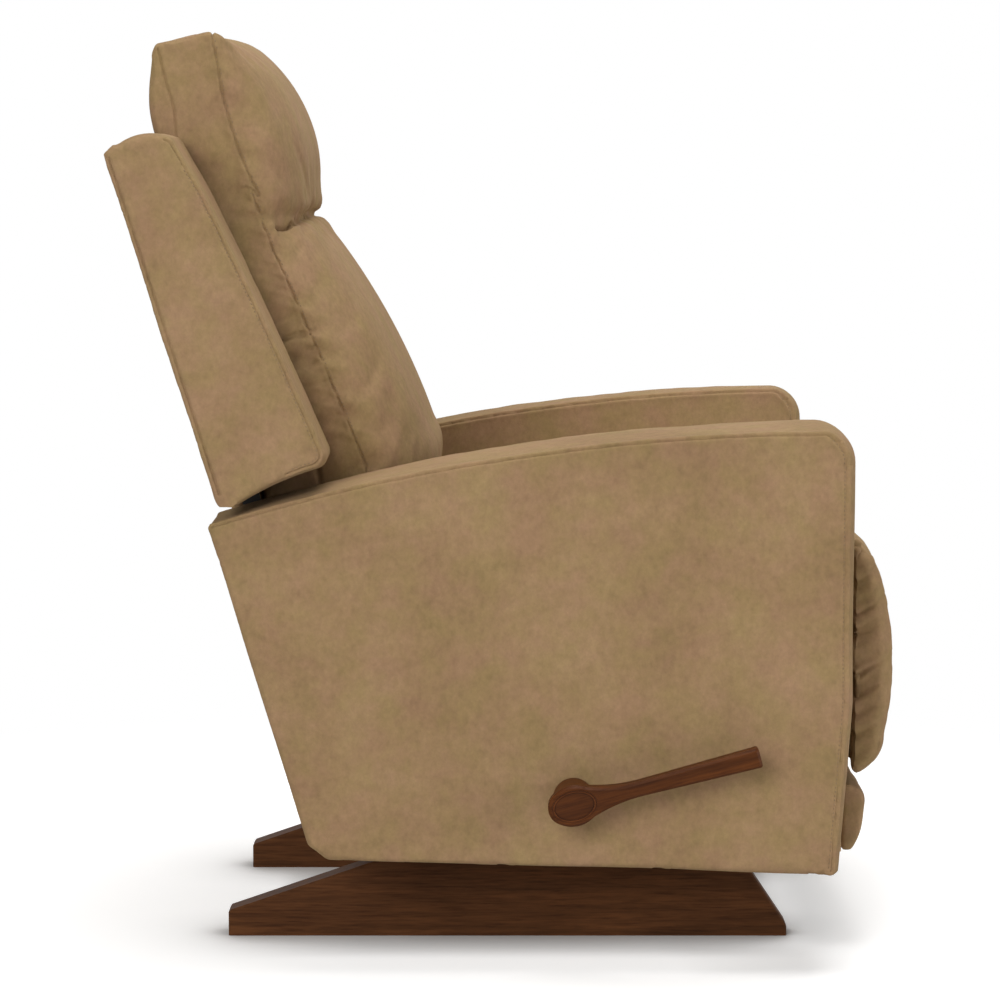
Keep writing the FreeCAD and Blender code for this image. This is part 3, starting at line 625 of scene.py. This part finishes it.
def wooden(name, dark, light, grain, roughness=0.5, coat=0.0, along="X", lean=0.0, ring=None):
    """Stained wood with its grain along one axis; round an oval ring, two thin lines of painted
    shade with a painted highlight between them.
    """
    made, tree, shader = material(name)
    where = node(tree, "ShaderNodeTexCoord").outputs["Object"]
    fine = {"X": (0.06, 1, 1), "Y": (1, 0.06, 1), "Z": (1, 1, 0.06)}[along]
    broad = {"X": (0.25, 1, 1), "Y": (1, 0.25, 1), "Z": (1, 1, 0.25)}[along]
    streaks = noise_of(tree, where, grain, 6, 0.68, stretch=fine, distortion=0.25, lean=lean)
    pores = noise_of(tree, where, grain * 3.2, 3, 0.6, stretch=fine, lean=lean)
    figure = noise_of(tree, where, grain * 0.12, 4, 0.55, stretch=broad, distortion=0.6, lean=lean)
    base = ramp(tree, streaks, (0.28, dark), (0.70, light))
    shadow = ramp(tree, pores, (0.30, (0.62, 0.58, 0.55)), (0.52, (1.0, 1.0, 1.0)))
    color = mixed(tree, 1.0, base, shadow, "MULTIPLY")
    drift = ramp(tree, figure, (0.3, (0.84, 0.82, 0.80)), (0.7, (1.14, 1.12, 1.10)))
    color = mixed(tree, 1.0, color, drift, "MULTIPLY")
    if ring is not None:
        centre, long, high = ring
        oval = node(tree, "ShaderNodeMapping", vector_type="TEXTURE")
        oval.inputs["Location"].default_value = centre
        oval.inputs["Rotation"].default_value = (0, -lean, 0)
        oval.inputs["Scale"].default_value = (long, 1e3, high)
        tree.links.new(where, oval.inputs["Vector"])
        reach = node(tree, "ShaderNodeVectorMath", operation="LENGTH")
        tree.links.new(oval.outputs["Vector"], reach.inputs[0])
        # Painted light on the ring: two dark lines of painted shade, a bluish painted highlight
        # between them, and the inside of the oval a little darker
        ring_shade_and_highlight = ramp(
            tree,
            reach.outputs["Value"],
            (0.0, (0.86, 0.86, 0.90)),
            (0.84, (0.84, 0.84, 0.88)),
            (0.885, (0.30, 0.28, 0.26)),
            (0.91, (1.25, 1.25, 1.30)),
            (0.96, (1.20, 1.20, 1.25)),
            (0.99, (0.32, 0.30, 0.28)),
        )
        color = mixed(tree, 1.0, color, ring_shade_and_highlight, "MULTIPLY")
    tree.links.new(color, shader.inputs["Base Color"])
    limits = {"To Min": roughness - 0.08, "To Max": roughness + 0.1}
    rough = node(tree, "ShaderNodeMapRange", limits)
    tree.links.new(streaks, rough.inputs["Value"])
    tree.links.new(rough.outputs["Result"], shader.inputs["Roughness"])
    shader.inputs["Specular IOR Level"].default_value = 0.09
    shader.inputs["Coat Weight"].default_value = coat
    shader.inputs["Coat Roughness"].default_value = 0.3
    bumped(tree, shader, summed(tree, (streaks, 0.6), (pores, 0.5)), 0.0004, 0.5)
    return made


def steely(name, color, metallic, roughness, scale):
    """Metal with slight unevenness in its colour and polish."""
    made, tree, shader = material(name)
    where = node(tree, "ShaderNodeTexCoord").outputs["Object"]
    patches = noise_of(tree, where, scale, 4, 0.6)
    specks = noise_of(tree, where, scale * 14, 2, 0.6)
    tone = ramp(
        tree,
        patches,
        (0.3, tuple(value * 0.82 for value in color)),
        (0.7, tuple(min(1.0, value * 1.15) for value in color)),
    )
    tree.links.new(tone, shader.inputs["Base Color"])
    shader.inputs["Metallic"].default_value = metallic
    limits = {"To Min": roughness - 0.07, "To Max": roughness + 0.09}
    rough = node(tree, "ShaderNodeMapRange", limits)
    tree.links.new(patches, rough.inputs["Value"])
    tree.links.new(rough.outputs["Result"], shader.inputs["Roughness"])
    bumped(tree, shader, specks, 0.0002, 0.35)
    return made


def woven(name, color, pitch):
    """Elastic webbing: ribs across the strap and a fine weave."""
    made, tree, shader = material(name)
    where = node(tree, "ShaderNodeTexCoord").outputs["Object"]
    ribs = node(tree, "ShaderNodeTexWave", {"Scale": 1 / pitch, "Distortion": 0.4, "Detail": 2.0})
    ribs.bands_direction = "X"
    tree.links.new(where, ribs.inputs["Vector"])
    fibre = noise_of(tree, where, 500, 3, 0.6)
    tone = ramp(
        tree,
        ribs.outputs["Fac"],
        (0.2, tuple(value * 0.7 for value in color)),
        (0.8, tuple(value * 1.3 for value in color)),
    )
    tree.links.new(tone, shader.inputs["Base Color"])
    shader.inputs["Roughness"].default_value = 0.9
    bumped(tree, shader, summed(tree, (ribs.outputs["Fac"], 0.8), (fibre, 0.3)), 0.0008, 0.7)
    return made


def plain_thread(name, color):
    made, tree, shader = material(name)
    where = node(tree, "ShaderNodeTexCoord").outputs["Object"]
    twist = noise_of(tree, where, 700, 2, 0.5)
    tone = ramp(
        tree,
        twist,
        (0.3, tuple(value * 0.8 for value in color)),
        (0.7, tuple(value * 1.15 for value in color)),
    )
    tree.links.new(tone, shader.inputs["Base Color"])
    shader.inputs["Roughness"].default_value = 0.7
    return made


SUEDE = microsuede("microsuede")
THREAD = plain_thread("thread", THREAD_TAN)
RAIL_WOOD = wooden("rail_wood", (0.047, 0.0178, 0.0060), (0.118, 0.0455, 0.0160), 125, 0.6)
LEVER_LEAN = math.radians(14.8)
LEVER_STAIN = ((0.037, 0.0100, 0.0018), (0.118, 0.0355, 0.0072))
LEVER_WOOD = wooden("lever_wood", *LEVER_STAIN, 120, 0.45, 0.05, lean=LEVER_LEAN)
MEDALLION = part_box("lever_medallion")
OVAL_CENTRE = tuple((MEDALLION[0][axis] + MEDALLION[1][axis]) / 2 for axis in range(3))
OVAL = (OVAL_CENTRE, 0.025, 0.017)
RINGED_WOOD = wooden("ringed_wood", *LEVER_STAIN, 120, 0.45, 0.05, lean=LEVER_LEAN, ring=OVAL)
FRAME_WOOD = wooden("frame_wood", (0.40, 0.27, 0.15), (0.62, 0.45, 0.28), 60, 0.6, 0.0, "Y")
STEEL = steely("mechanism_steel", (0.030, 0.029, 0.028), 0.5, 0.5, 30)
SPRING = steely("spring_steel", (0.42, 0.42, 0.43), 1.0, 0.35, 60)
WEBBING = woven("webbing", (0.05, 0.05, 0.055), 0.004)

BY_SLOT = {
    "base_wood": RAIL_WOOD,
    "lever_wood": LEVER_WOOD,
    "frame_wood": FRAME_WOOD,
    "mechanism_steel": STEEL,
    "spring_steel": SPRING,
    "webbing": WEBBING,
    "upholstery": SUEDE,
}
for entry in frame["record"]["subparts"]:
    piece = frame["nodes"][entry["node"]]
    for slot in piece.material_slots:
        slot.material = BY_SLOT[entry["material_slot"]]
for slot in frame["nodes"]["lever_medallion"].material_slots:
    slot.material = RINGED_WOOD


# Outlines of the upholstered pieces
def spanned(loop, edge, first, last):
    """The part of a side outline between two directions from its middle, 0 forward and 90 up."""
    centre = loop.mean(axis=0)
    turn = np.degrees(np.arctan2(loop[:, 1] - centre[1], loop[:, 0] - centre[0]))
    turn = (turn - first) % 360
    chosen = turn <= (last - first) % 360.0001
    order = np.argsort(turn[chosen])
    return [(x, edge, z) for x, z in loop[chosen][order]]


def held_in(piece, nodes, proud):
    """Keeps the piece within its CAD solids, apart from a little that the cloth stands proud."""
    tree = solid_tree(nodes)
    co = points(piece.data)
    for number, spot in enumerate(co):
        near, out, face, gap = tree.find_nearest(Vector(spot))
        beyond = (Vector(spot) - near).dot(out)
        if beyond > 0 and gap > proud * 0.5:
            limit = proud * (0.5 + 0.5 * math.tanh((gap - proud * 0.5) / proud))
            co[number] = near + (Vector(spot) - near) * (limit / gap)
    place(piece.data, co)
    return piece


def pinned(piece, paths, reach):
    """A group of the points on the seams, which a simulation holds still."""
    group = piece.vertex_groups.new(name="seams")
    co = points(piece.data)
    weight = np.zeros(len(co))
    for path in paths:
        weight = np.maximum(weight, np.clip(1.6 - path.measure(co)[0] / reach, 0, 1))
    for number in np.nonzero(weight > 0)[0]:
        group.add([int(number)], float(weight[number]), "REPLACE")
    return group


def settled(piece, nodes, lines, pin_reach, cap, share, steps):
    """A cushion puffed up between its seams, then drawn to its solids and held in by them."""
    pinned(piece, [laid(piece, line) for line in lines], pin_reach)
    plumped(piece, cap)
    fitted(piece, nodes, share)
    held_in(piece, nodes, PROUD)
    return relaxed(piece, steps)


def make_arm(name, side):
    """One arm's cover: two flat side panels joined by a strip over the top and the front."""
    nodes = (f"arm_{name}", f"arm_pad_{name}")
    arm = remeshed(copied(f"arm_cover_{name}", *nodes), VOXEL)
    relaxed(arm, 3)
    low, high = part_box(nodes[0])
    pad_low, pad_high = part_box(nodes[1])
    outer, inner = (low[1], high[1]) if side < 0 else (high[1], low[1])
    front, top = high[0], pad_high[2]
    solid = solid_tree(nodes)

    def drawn_back(co):
        """The strip's front bulges past the two panels, which lie further back."""
        across = np.abs(co[:, 1] - (outer + inner) / 2) / (abs(outer - inner) / 2)
        ahead = np.clip((co[:, 0] - (front - 0.055)) / 0.045, 0, 1)
        moved = co.copy()
        moved[:, 0] -= ARM_FRONT_DRAW * np.minimum(across, 1) ** 4 * ahead**2 * (3 - 2 * ahead)
        return moved

    def over_top(y):
        """The edge from the rear along the top, round the corner and down the front."""
        found = []
        for x in np.linspace(pad_low[0] + 0.003, front - PANEL_BEND, 90):
            found.append(solid.ray_cast(Vector((x, y, top + RAY_START)), Vector((0, 0, -1)))[0])
        for z in np.linspace(top - PANEL_BEND, low[2] + 0.003, 70):
            found.append(solid.ray_cast(Vector((front + RAY_START, y, z)), Vector((-1, 0, 0)))[0])
        return np.array([spot for spot in found if spot is not None])

    def up_rear(y):
        """The rear edge from the foot to the arm pad."""
        found = []
        for z in np.linspace(low[2] + 0.012, pad_low[2] - 0.004, 60):
            found.append(solid.ray_cast(Vector((low[0] - RAY_START, y, z)), Vector((1, 0, 0)))[0])
        return np.array([spot for spot in found if spot is not None])

    tops = [over_top(outer - side * 0.0004), over_top(inner + side * 0.0004)]
    rears = [up_rear(outer - side * 0.0004), up_rear(inner + side * 0.0004)]
    edges = [Path(line) for line in tops + rears]
    drops = []
    for line in tops:
        ahead = np.gradient(line, axis=0)
        ahead /= np.linalg.norm(ahead, axis=1)[:, None]
        down = np.stack((ahead[:, 2], ahead[:, 1] * 0, -ahead[:, 0]), axis=1)
        drops.append(line + down * EDGE_DROP)
    refined(arm, edges)
    fitted(arm, nodes)
    relaxed(arm, 2, where=nearness(arm, edges, 0.010))
    place(arm.data, drawn_back(points(arm.data)))
    seams = [Path(drawn_back(line)) for line in drops]
    folds = [Path(drawn_back(line)) for line in rears]
    rows = []
    for line in tops:
        corner = int(np.argmax(line[:, 0] > front - 0.012))
        inset = np.array((TOPSTITCH_INSET + EDGE_DROP, 0, 0))
        rows.append(laid(arm, drawn_back(line[corner:]) - inset))
    eased(arm, 0.15, 0.0015, 3.1 + side)
    seams = [laid(arm, path.places) for path in seams]
    rows = [laid(arm, path.places) for path in rows]
    refined(arm, seams + rows, SEW_REACH, 1)
    sewn(arm, seams)
    sewn(arm, rows, depth=ROW_DEPTH, roll=0.0003)
    sewn(arm, folds, depth=0.0008, roll=0.0)
    for number, path in enumerate(seams):
        puckered(arm, path, 0.034, 0.02, 0.0004, 4.0 + side + 9 * number)
    smooth(arm)
    dressed(arm, SUEDE, "chassis", nodes)
    stitched(f"arm_stitching_{name}", arm, rows, THREAD, "chassis")
    return arm


def make_back():
    """The padded wings and the outer back under one cover."""
    nodes = ("back_shell", "wing_left", "wing_right")
    back = remeshed(copied("back_cover", *nodes), VOXEL)
    relaxed(back, 2)
    seams = []
    rows = []
    joints = []
    for name, side in SIDES:
        for face in (side, -side):
            loop, edge = rim(f"wing_{name}", face, -0.0005)
            seams.append(Path(spanned(loop, edge, -66, 106)))
            loop, edge = rim(f"wing_{name}", face, TOPSTITCH_INSET)
            rows.append(spanned(loop, edge, -64, 102))
        shell, edge = rim("back_shell", side)
        flat = shell[np.argsort(shell[:, 1])]
        foot = flat[:8][np.argmax(flat[:8, 0])]
        head = flat[-8:][np.argmax(flat[-8:, 0])]
        joints.append((Path([(foot[0], edge, foot[1]), (head[0], edge, head[1])]), edge, side))
        base = flat[:8][np.argmin(flat[:8, 0])]
        brim = flat[-8:][np.argmin(flat[-8:, 0])]
        inset = BACK_SEAM_INSET
        ends = ((base[0] + inset, edge, base[1] + 0.004), (brim[0] + inset, edge, brim[1] - inset))
        seams.append(Path(ends))
    edges = seams + [joint[0] for joint in joints]
    refined(back, edges)
    fitted(back, nodes)
    co = points(back.data)
    for joint, edge, side in joints:
        gap = joint.measure(co)[0]
        flush = (gap < 0.013) & ((co[:, 1] - edge) * side > -0.012)
        co[flush, 1] = edge
    place(back.data, co)
    relaxed(back, 3, where=nearness(back, [joint[0] for joint in joints], 0.022))
    relaxed(back, 2, where=nearness(back, seams, 0.010))
    eased(back, 0.13, 0.0014, 9.0)
    rows = [laid(back, row) for row in rows]
    seams = [laid(back, path.places) for path in seams]
    refined(back, seams + rows, SEW_REACH, 1)
    sewn(back, seams)
    sewn(back, rows, depth=ROW_DEPTH, roll=0.0003)
    for number, path in enumerate(seams):
        puckered(back, path, 0.030, 0.016, 0.0004, 12.0 + number)
    smooth(back)
    dressed(back, SUEDE, "back", nodes)
    stitched("wing_stitching", back, rows, THREAD, "back")


def make_back_cushion():
    """The head pillow and the lumbar cushion under one cover, drawn in where they meet."""
    nodes = ("head_pillow", "lumbar_cushion")
    cushion = remeshed(copied("back_cushion_cover", *nodes), VOXEL)
    relaxed(cushion, 4)
    pillow_low, pillow_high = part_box("head_pillow")
    lumbar_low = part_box("lumbar_cushion")[0]
    tuck_z = pillow_low[2]
    half = (pillow_high[1] - pillow_low[1]) / 2
    fronts = []
    rears = []
    gathers = []
    peaks = []
    for name, side in SIDES:
        pillow, edge = rim("head_pillow", side, 0.001)
        lumbar, edge = rim("lumbar_cushion", side, 0.001)
        span = pillow.max(axis=0) - pillow.min(axis=0)
        head = pillow.min(axis=0) + span * np.array((0.60, 1.0))
        brow = run(pillow, (pillow[:, 0].max(), tuck_z), head)
        foot = (lumbar[:, 0].max(), lumbar_low[2])
        lower = [spot for spot in run(lumbar, foot, brow[0]) if spot[1] < lumbar_low[2] + 0.13]
        places = [(x, edge, z) for x, z in lower[::6] + brow[::6] + brow[-1:]]
        for across in (0.012, 0.03):
            places.append((head[0] - 0.002, edge - side * across, head[1] + 0.012))
        fronts.append(curved(places, 170))
        rear = []
        for shares in REAR_SEAM_SHARES:
            x, z = pillow.min(axis=0) + span * np.array(shares)
            rear.append((x, edge, z))
        rears.append(curved(rear, 60))
        wing, wing_edge = rim(f"wing_{name}", -side)
        gathers.append([(x, edge, z) for x, edge_y, z in spanned(wing, wing_edge, -60, 70)])
        corner = (pillow[:, 0].min() + 0.006, edge, head[1] - 0.012)
        peaks.append(((head[0], edge, head[1]), corner))
    solid = solid_tree(nodes)
    tuck = []
    for share in np.linspace(-TUCK_SHARE, TUCK_SHARE, 70):
        level = tuck_z - TUCK_DROP * abs(share) ** 2
        hit = solid.ray_cast(Vector((0.2, MIDDLE + half * share, level)), Vector((-1, 0, 0)))[0]
        if hit is not None:
            tuck.append(hit)
    settled(cushion, nodes, fronts + rears + [tuck], 0.007, CUSHION_CAP, 0.55, 2)
    for peak, corner in peaks:
        drawn_out(cushion, peak, 0.030, (0.002, 0, 0.009))
        drawn_out(cushion, corner, 0.016, (-0.004, 0, 0.005))
    seams = [laid(cushion, line) for line in fronts + rears]
    tuck = laid(cushion, tuck)
    refined(cushion, seams + [tuck])
    relaxed(cushion, 2, where=nearness(cushion, seams + [tuck], 0.014))
    gathers = [laid(cushion, line) for line in gathers]
    refined(cushion, gathers, 0.048, 1)
    for number, path in enumerate(gathers):
        gathered(cushion, path, 0.021, 0.040, 0.0058, 20.3 + number, slant=0.15)
    for number, path in enumerate(seams[:2]):
        puckered(cushion, path, 0.020, 0.024, 0.0026, 23.4 + number, slant=0.8)
    tucked(cushion, tuck, 0.0055, 0.011, 0.0022)
    puckered(cushion, tuck, 0.034, 0.032, 0.0030, 25.0, slant=0.6)
    count = len(tuck.places) // 6
    creases = [laid(cushion, part) for part in (tuck.places[1:count], tuck.places[-count:-1])]
    seams = [laid(cushion, path.places) for path in seams]
    refined(cushion, seams + creases, CUSHION_SEW_REACH, 1)
    sewn(cushion, seams, CUSHION_SEAM_WIDTH, CUSHION_SEAM_DEPTH, CUSHION_SEAM_ROLL)
    sewn(cushion, creases, width=0.0020, depth=0.0050, roll=0.0010)
    smooth(cushion)
    dressed(cushion, SUEDE, "back", nodes)
    stitched("back_cushion_stitching", cushion, seams[:2], THREAD, "back", (0.0030,))


def make_seat_cushion():
    """The seat's cover, with a seam along each side's upper edge."""
    nodes = ("seat_cushion",)
    cushion = remeshed(copied("seat_cover", *nodes), VOXEL)
    relaxed(cushion, 4)
    seams = []
    for name, side in SIDES:
        loop, edge = rim("seat_cushion", side, 0.002)
        seams.append(spanned(loop, edge, -20, 165))
    settled(cushion, nodes, seams, 0.006, CUSHION_CAP, 0.5, 2)
    seams = [laid(cushion, line) for line in seams]
    refined(cushion, seams)
    relaxed(cushion, 2, where=nearness(cushion, seams, 0.014))
    refined(cushion, seams, SEW_REACH, 1)
    sewn(cushion, seams)
    for number, path in enumerate(seams):
        puckered(cushion, path, 0.03, 0.03, 0.0014, 40.0 + number, slant=0.3)
    smooth(cushion)
    dressed(cushion, SUEDE, "seat", nodes)
    stitched("seat_stitching", cushion, seams, THREAD, "seat", (-0.0032, 0.0032))


def make_leg_pad():
    """The leg rest's cover, gathered at its two sides."""
    nodes = ("leg_pad",)
    pad = remeshed(copied("leg_pad_cover", *nodes), FINE_VOXEL)
    relaxed(pad, 4)
    lines = []
    gathers = []
    for name, side in SIDES:
        loop, edge = rim("leg_pad", side, 0.0)
        lines.append(spanned(loop, edge, -110, 110))
        rear = loop[:, 0].min() + 0.003
        levels = np.linspace(loop[:, 1].min(), loop[:, 1].max(), 60)
        gathers.append([(rear, edge, z) for z in levels])
    settled(pad, nodes, lines, 0.008, PAD_CAP, 0.6, 1)
    gathers = [laid(pad, line) for line in gathers]
    refined(pad, gathers, 0.055, 1)
    for number, path in enumerate(gathers):
        gathered(pad, path, 0.016, 0.036, 0.0050, 50.4 + number, slant=-0.55)
    smooth(pad)
    dressed(pad, SUEDE, "leg_rest", nodes)


def make_valance():
    """The padded strip under the leg rest, fuller along its upper edge."""
    valance = remeshed(copied("valance_cover", "front_valance"), FINE_VOXEL)
    relaxed(valance, 4)
    fitted(valance, ("front_valance",), 0.5)
    low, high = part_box("front_valance")
    co = points(valance.data)
    fuller = np.exp(-(((co[:, 2] - high[2] + 0.014) / 0.016) ** 2))
    co[:, 0] += 0.006 * fuller * (co[:, 0] > (low[0] + high[0]) / 2)
    place(valance.data, co)
    eased(valance, 0.05, 0.0018, 61.0)
    smooth(valance)
    dressed(valance, SUEDE, "chassis", ("front_valance",))


def make_skirt():
    """The flat panel between the arms at the rear."""
    skirt = remeshed(copied("skirt_cover", "rear_skirt"), VOXEL)
    relaxed(skirt, 2)
    fitted(skirt, ("rear_skirt",), 0.8)
    smooth(skirt)
    dressed(skirt, SUEDE, "chassis", ("rear_skirt",))


for name, side in SIDES:
    make_arm(name, side)
make_back()
make_back_cushion()
make_seat_cushion()
make_leg_pad()
make_valance()
make_skirt()


# Floor, light and camera
def make_floor():
    """A white floor with a painted contact shadow close to what stands on it, which fades into the
    white world.
    """
    made = bmesh.new()
    half = 12.0
    for x, y in ((-half, -half), (half, -half), (half, half), (-half, half)):
        made.verts.new((x, y, 0))
    made.faces.new(made.verts)
    mesh = bpy.data.meshes.new("floor")
    made.to_mesh(mesh)
    made.free()
    floor = bpy.data.objects.new("floor", mesh)
    bpy.context.scene.collection.objects.link(floor)
    pale, tree, shader = material("floor_white")
    shader.inputs["Base Color"].default_value = (0.72, 0.72, 0.72, 1)
    shader.inputs["Roughness"].default_value = 1.0
    shader.inputs["Specular IOR Level"].default_value = 0.0
    seen = node(tree, "ShaderNodeLightPath").outputs["Is Camera Ray"]
    lift = node(tree, "ShaderNodeMath", {1: FLOOR_LIFT}, operation="MULTIPLY")
    tree.links.new(seen, lift.inputs[0])
    # Painted contact shadow: ambient occlusion cuts the camera's lift close to what stands on the
    # floor
    shade = node(tree, "ShaderNodeAmbientOcclusion", {"Distance": CONTACT_SHADOW_REACH})
    painted_contact_shadow = node(tree, "ShaderNodeMath", {1: CONTACT_SHADOW_POWER}, operation="POWER")
    tree.links.new(shade.outputs["AO"], painted_contact_shadow.inputs[0])
    shaded = node(tree, "ShaderNodeMath", operation="MULTIPLY")
    tree.links.new(lift.outputs[0], shaded.inputs[0])
    tree.links.new(painted_contact_shadow.outputs[0], shaded.inputs[1])
    glow = node(tree, "ShaderNodeEmission", {"Color": (1, 1, 1, 1)})
    tree.links.new(shaded.outputs[0], glow.inputs["Strength"])
    both = node(tree, "ShaderNodeAddShader")
    tree.links.new(shader.outputs[0], both.inputs[0])
    tree.links.new(glow.outputs[0], both.inputs[1])
    where = node(tree, "ShaderNodeTexCoord").outputs["Object"]
    reach = node(tree, "ShaderNodeVectorMath", operation="LENGTH")
    tree.links.new(where, reach.inputs[0])
    away = node(tree, "ShaderNodeMapRange", {"From Min": FLOOR_NEAR, "From Max": FLOOR_FAR})
    away.interpolation_type = "SMOOTHSTEP"
    tree.links.new(reach.outputs["Value"], away.inputs["Value"])
    far = node(tree, "ShaderNodeMath", operation="MULTIPLY")
    tree.links.new(away.outputs["Result"], far.inputs[0])
    tree.links.new(seen, far.inputs[1])
    white = node(tree, "ShaderNodeEmission", {"Color": (1, 1, 1, 1), "Strength": 1.0})
    faded = node(tree, "ShaderNodeMixShader")
    tree.links.new(far.outputs[0], faded.inputs[0])
    tree.links.new(both.outputs[0], faded.inputs[1])
    tree.links.new(white.outputs[0], faded.inputs[2])
    tree.links.new(faded.outputs[0], tree.nodes["Material Output"].inputs["Surface"])
    mesh.materials.append(pale)


def make_world():
    """A dim warm surrounding, which the camera and glossy reflections see as white."""
    world = bpy.data.worlds.new("studio")
    bpy.context.scene.world = world
    world.use_nodes = True
    tree = world.node_tree
    lit = tree.nodes["Background"]
    lit.inputs["Color"].default_value = (1, 0.94, 0.86, 1)
    lit.inputs["Strength"].default_value = WORLD_LIGHT
    white = node(tree, "ShaderNodeBackground", {"Color": (1, 1, 1, 1), "Strength": 1.0})
    rays = node(tree, "ShaderNodeLightPath")
    camera_or_gloss = node(tree, "ShaderNodeMath", operation="MAXIMUM")
    tree.links.new(rays.outputs["Is Camera Ray"], camera_or_gloss.inputs[0])
    tree.links.new(rays.outputs["Is Glossy Ray"], camera_or_gloss.inputs[1])
    both = node(tree, "ShaderNodeMixShader")
    tree.links.new(camera_or_gloss.outputs[0], both.inputs[0])
    tree.links.new(lit.outputs[0], both.inputs[1])
    tree.links.new(white.outputs[0], both.inputs[2])
    tree.links.new(both.outputs[0], tree.nodes["World Output"].inputs["Surface"])


def lamp(name, spot, aim, size, power):
    light = bpy.data.lights.new(name, "AREA")
    light.shape = "SQUARE"
    light.size = size
    light.energy = power
    made = bpy.data.objects.new(name, light)
    made.location = spot
    made.rotation_euler = (Vector(aim) - Vector(spot)).to_track_quat("-Z", "Y").to_euler()
    bpy.context.scene.collection.objects.link(made)


WORLD_LIGHT = 0.17
FLOOR_LIFT = 0.55
# Reach and steepness of the floor's painted contact shadow
CONTACT_SHADOW_REACH = 0.12
CONTACT_SHADOW_POWER = 5.0
FLOOR_NEAR = 0.7
FLOOR_FAR = 1.5
AIM = (0.0, MIDDLE, 0.45)
# Each lamp's name, place, size and power
LAMPS = (
    ("key", (-2.3, -5.9, 2.8), 3.0, 264),
    ("fill", (4.2, -2.2, 0.9), 2.6, 92),
    ("top", (0.2, 0.2, 4.2), 2.8, 122),
    ("back", (0.8, 3.6, 2.6), 2.4, 30),
)

make_floor()
make_world()
for name, spot, size, power in LAMPS:
    lamp(name, spot, AIM, size, power)

# The photograph's viewpoint: a long lens on the sitter's right, a little above the arms
FOCAL_LENGTH = 119.62
CAMERA_BACK = 4.085
CAMERA_HEIGHT = 0.895
CAMERA_ALONG = -0.0084
CAMERA_PITCH = 5.553

camera = bpy.data.cameras.new("camera")
camera.lens = FOCAL_LENGTH
camera.sensor_width = 36
camera.clip_end = 60
eye = bpy.data.objects.new("camera", camera)
eye.location = (CAMERA_ALONG, MIDDLE - CAMERA_BACK, CAMERA_HEIGHT)
eye.rotation_euler = (math.radians(90 - CAMERA_PITCH), 0, 0)
bpy.context.scene.collection.objects.link(eye)
bpy.context.scene.camera = eye
bpy.context.scene.view_settings.view_transform = "Standard"
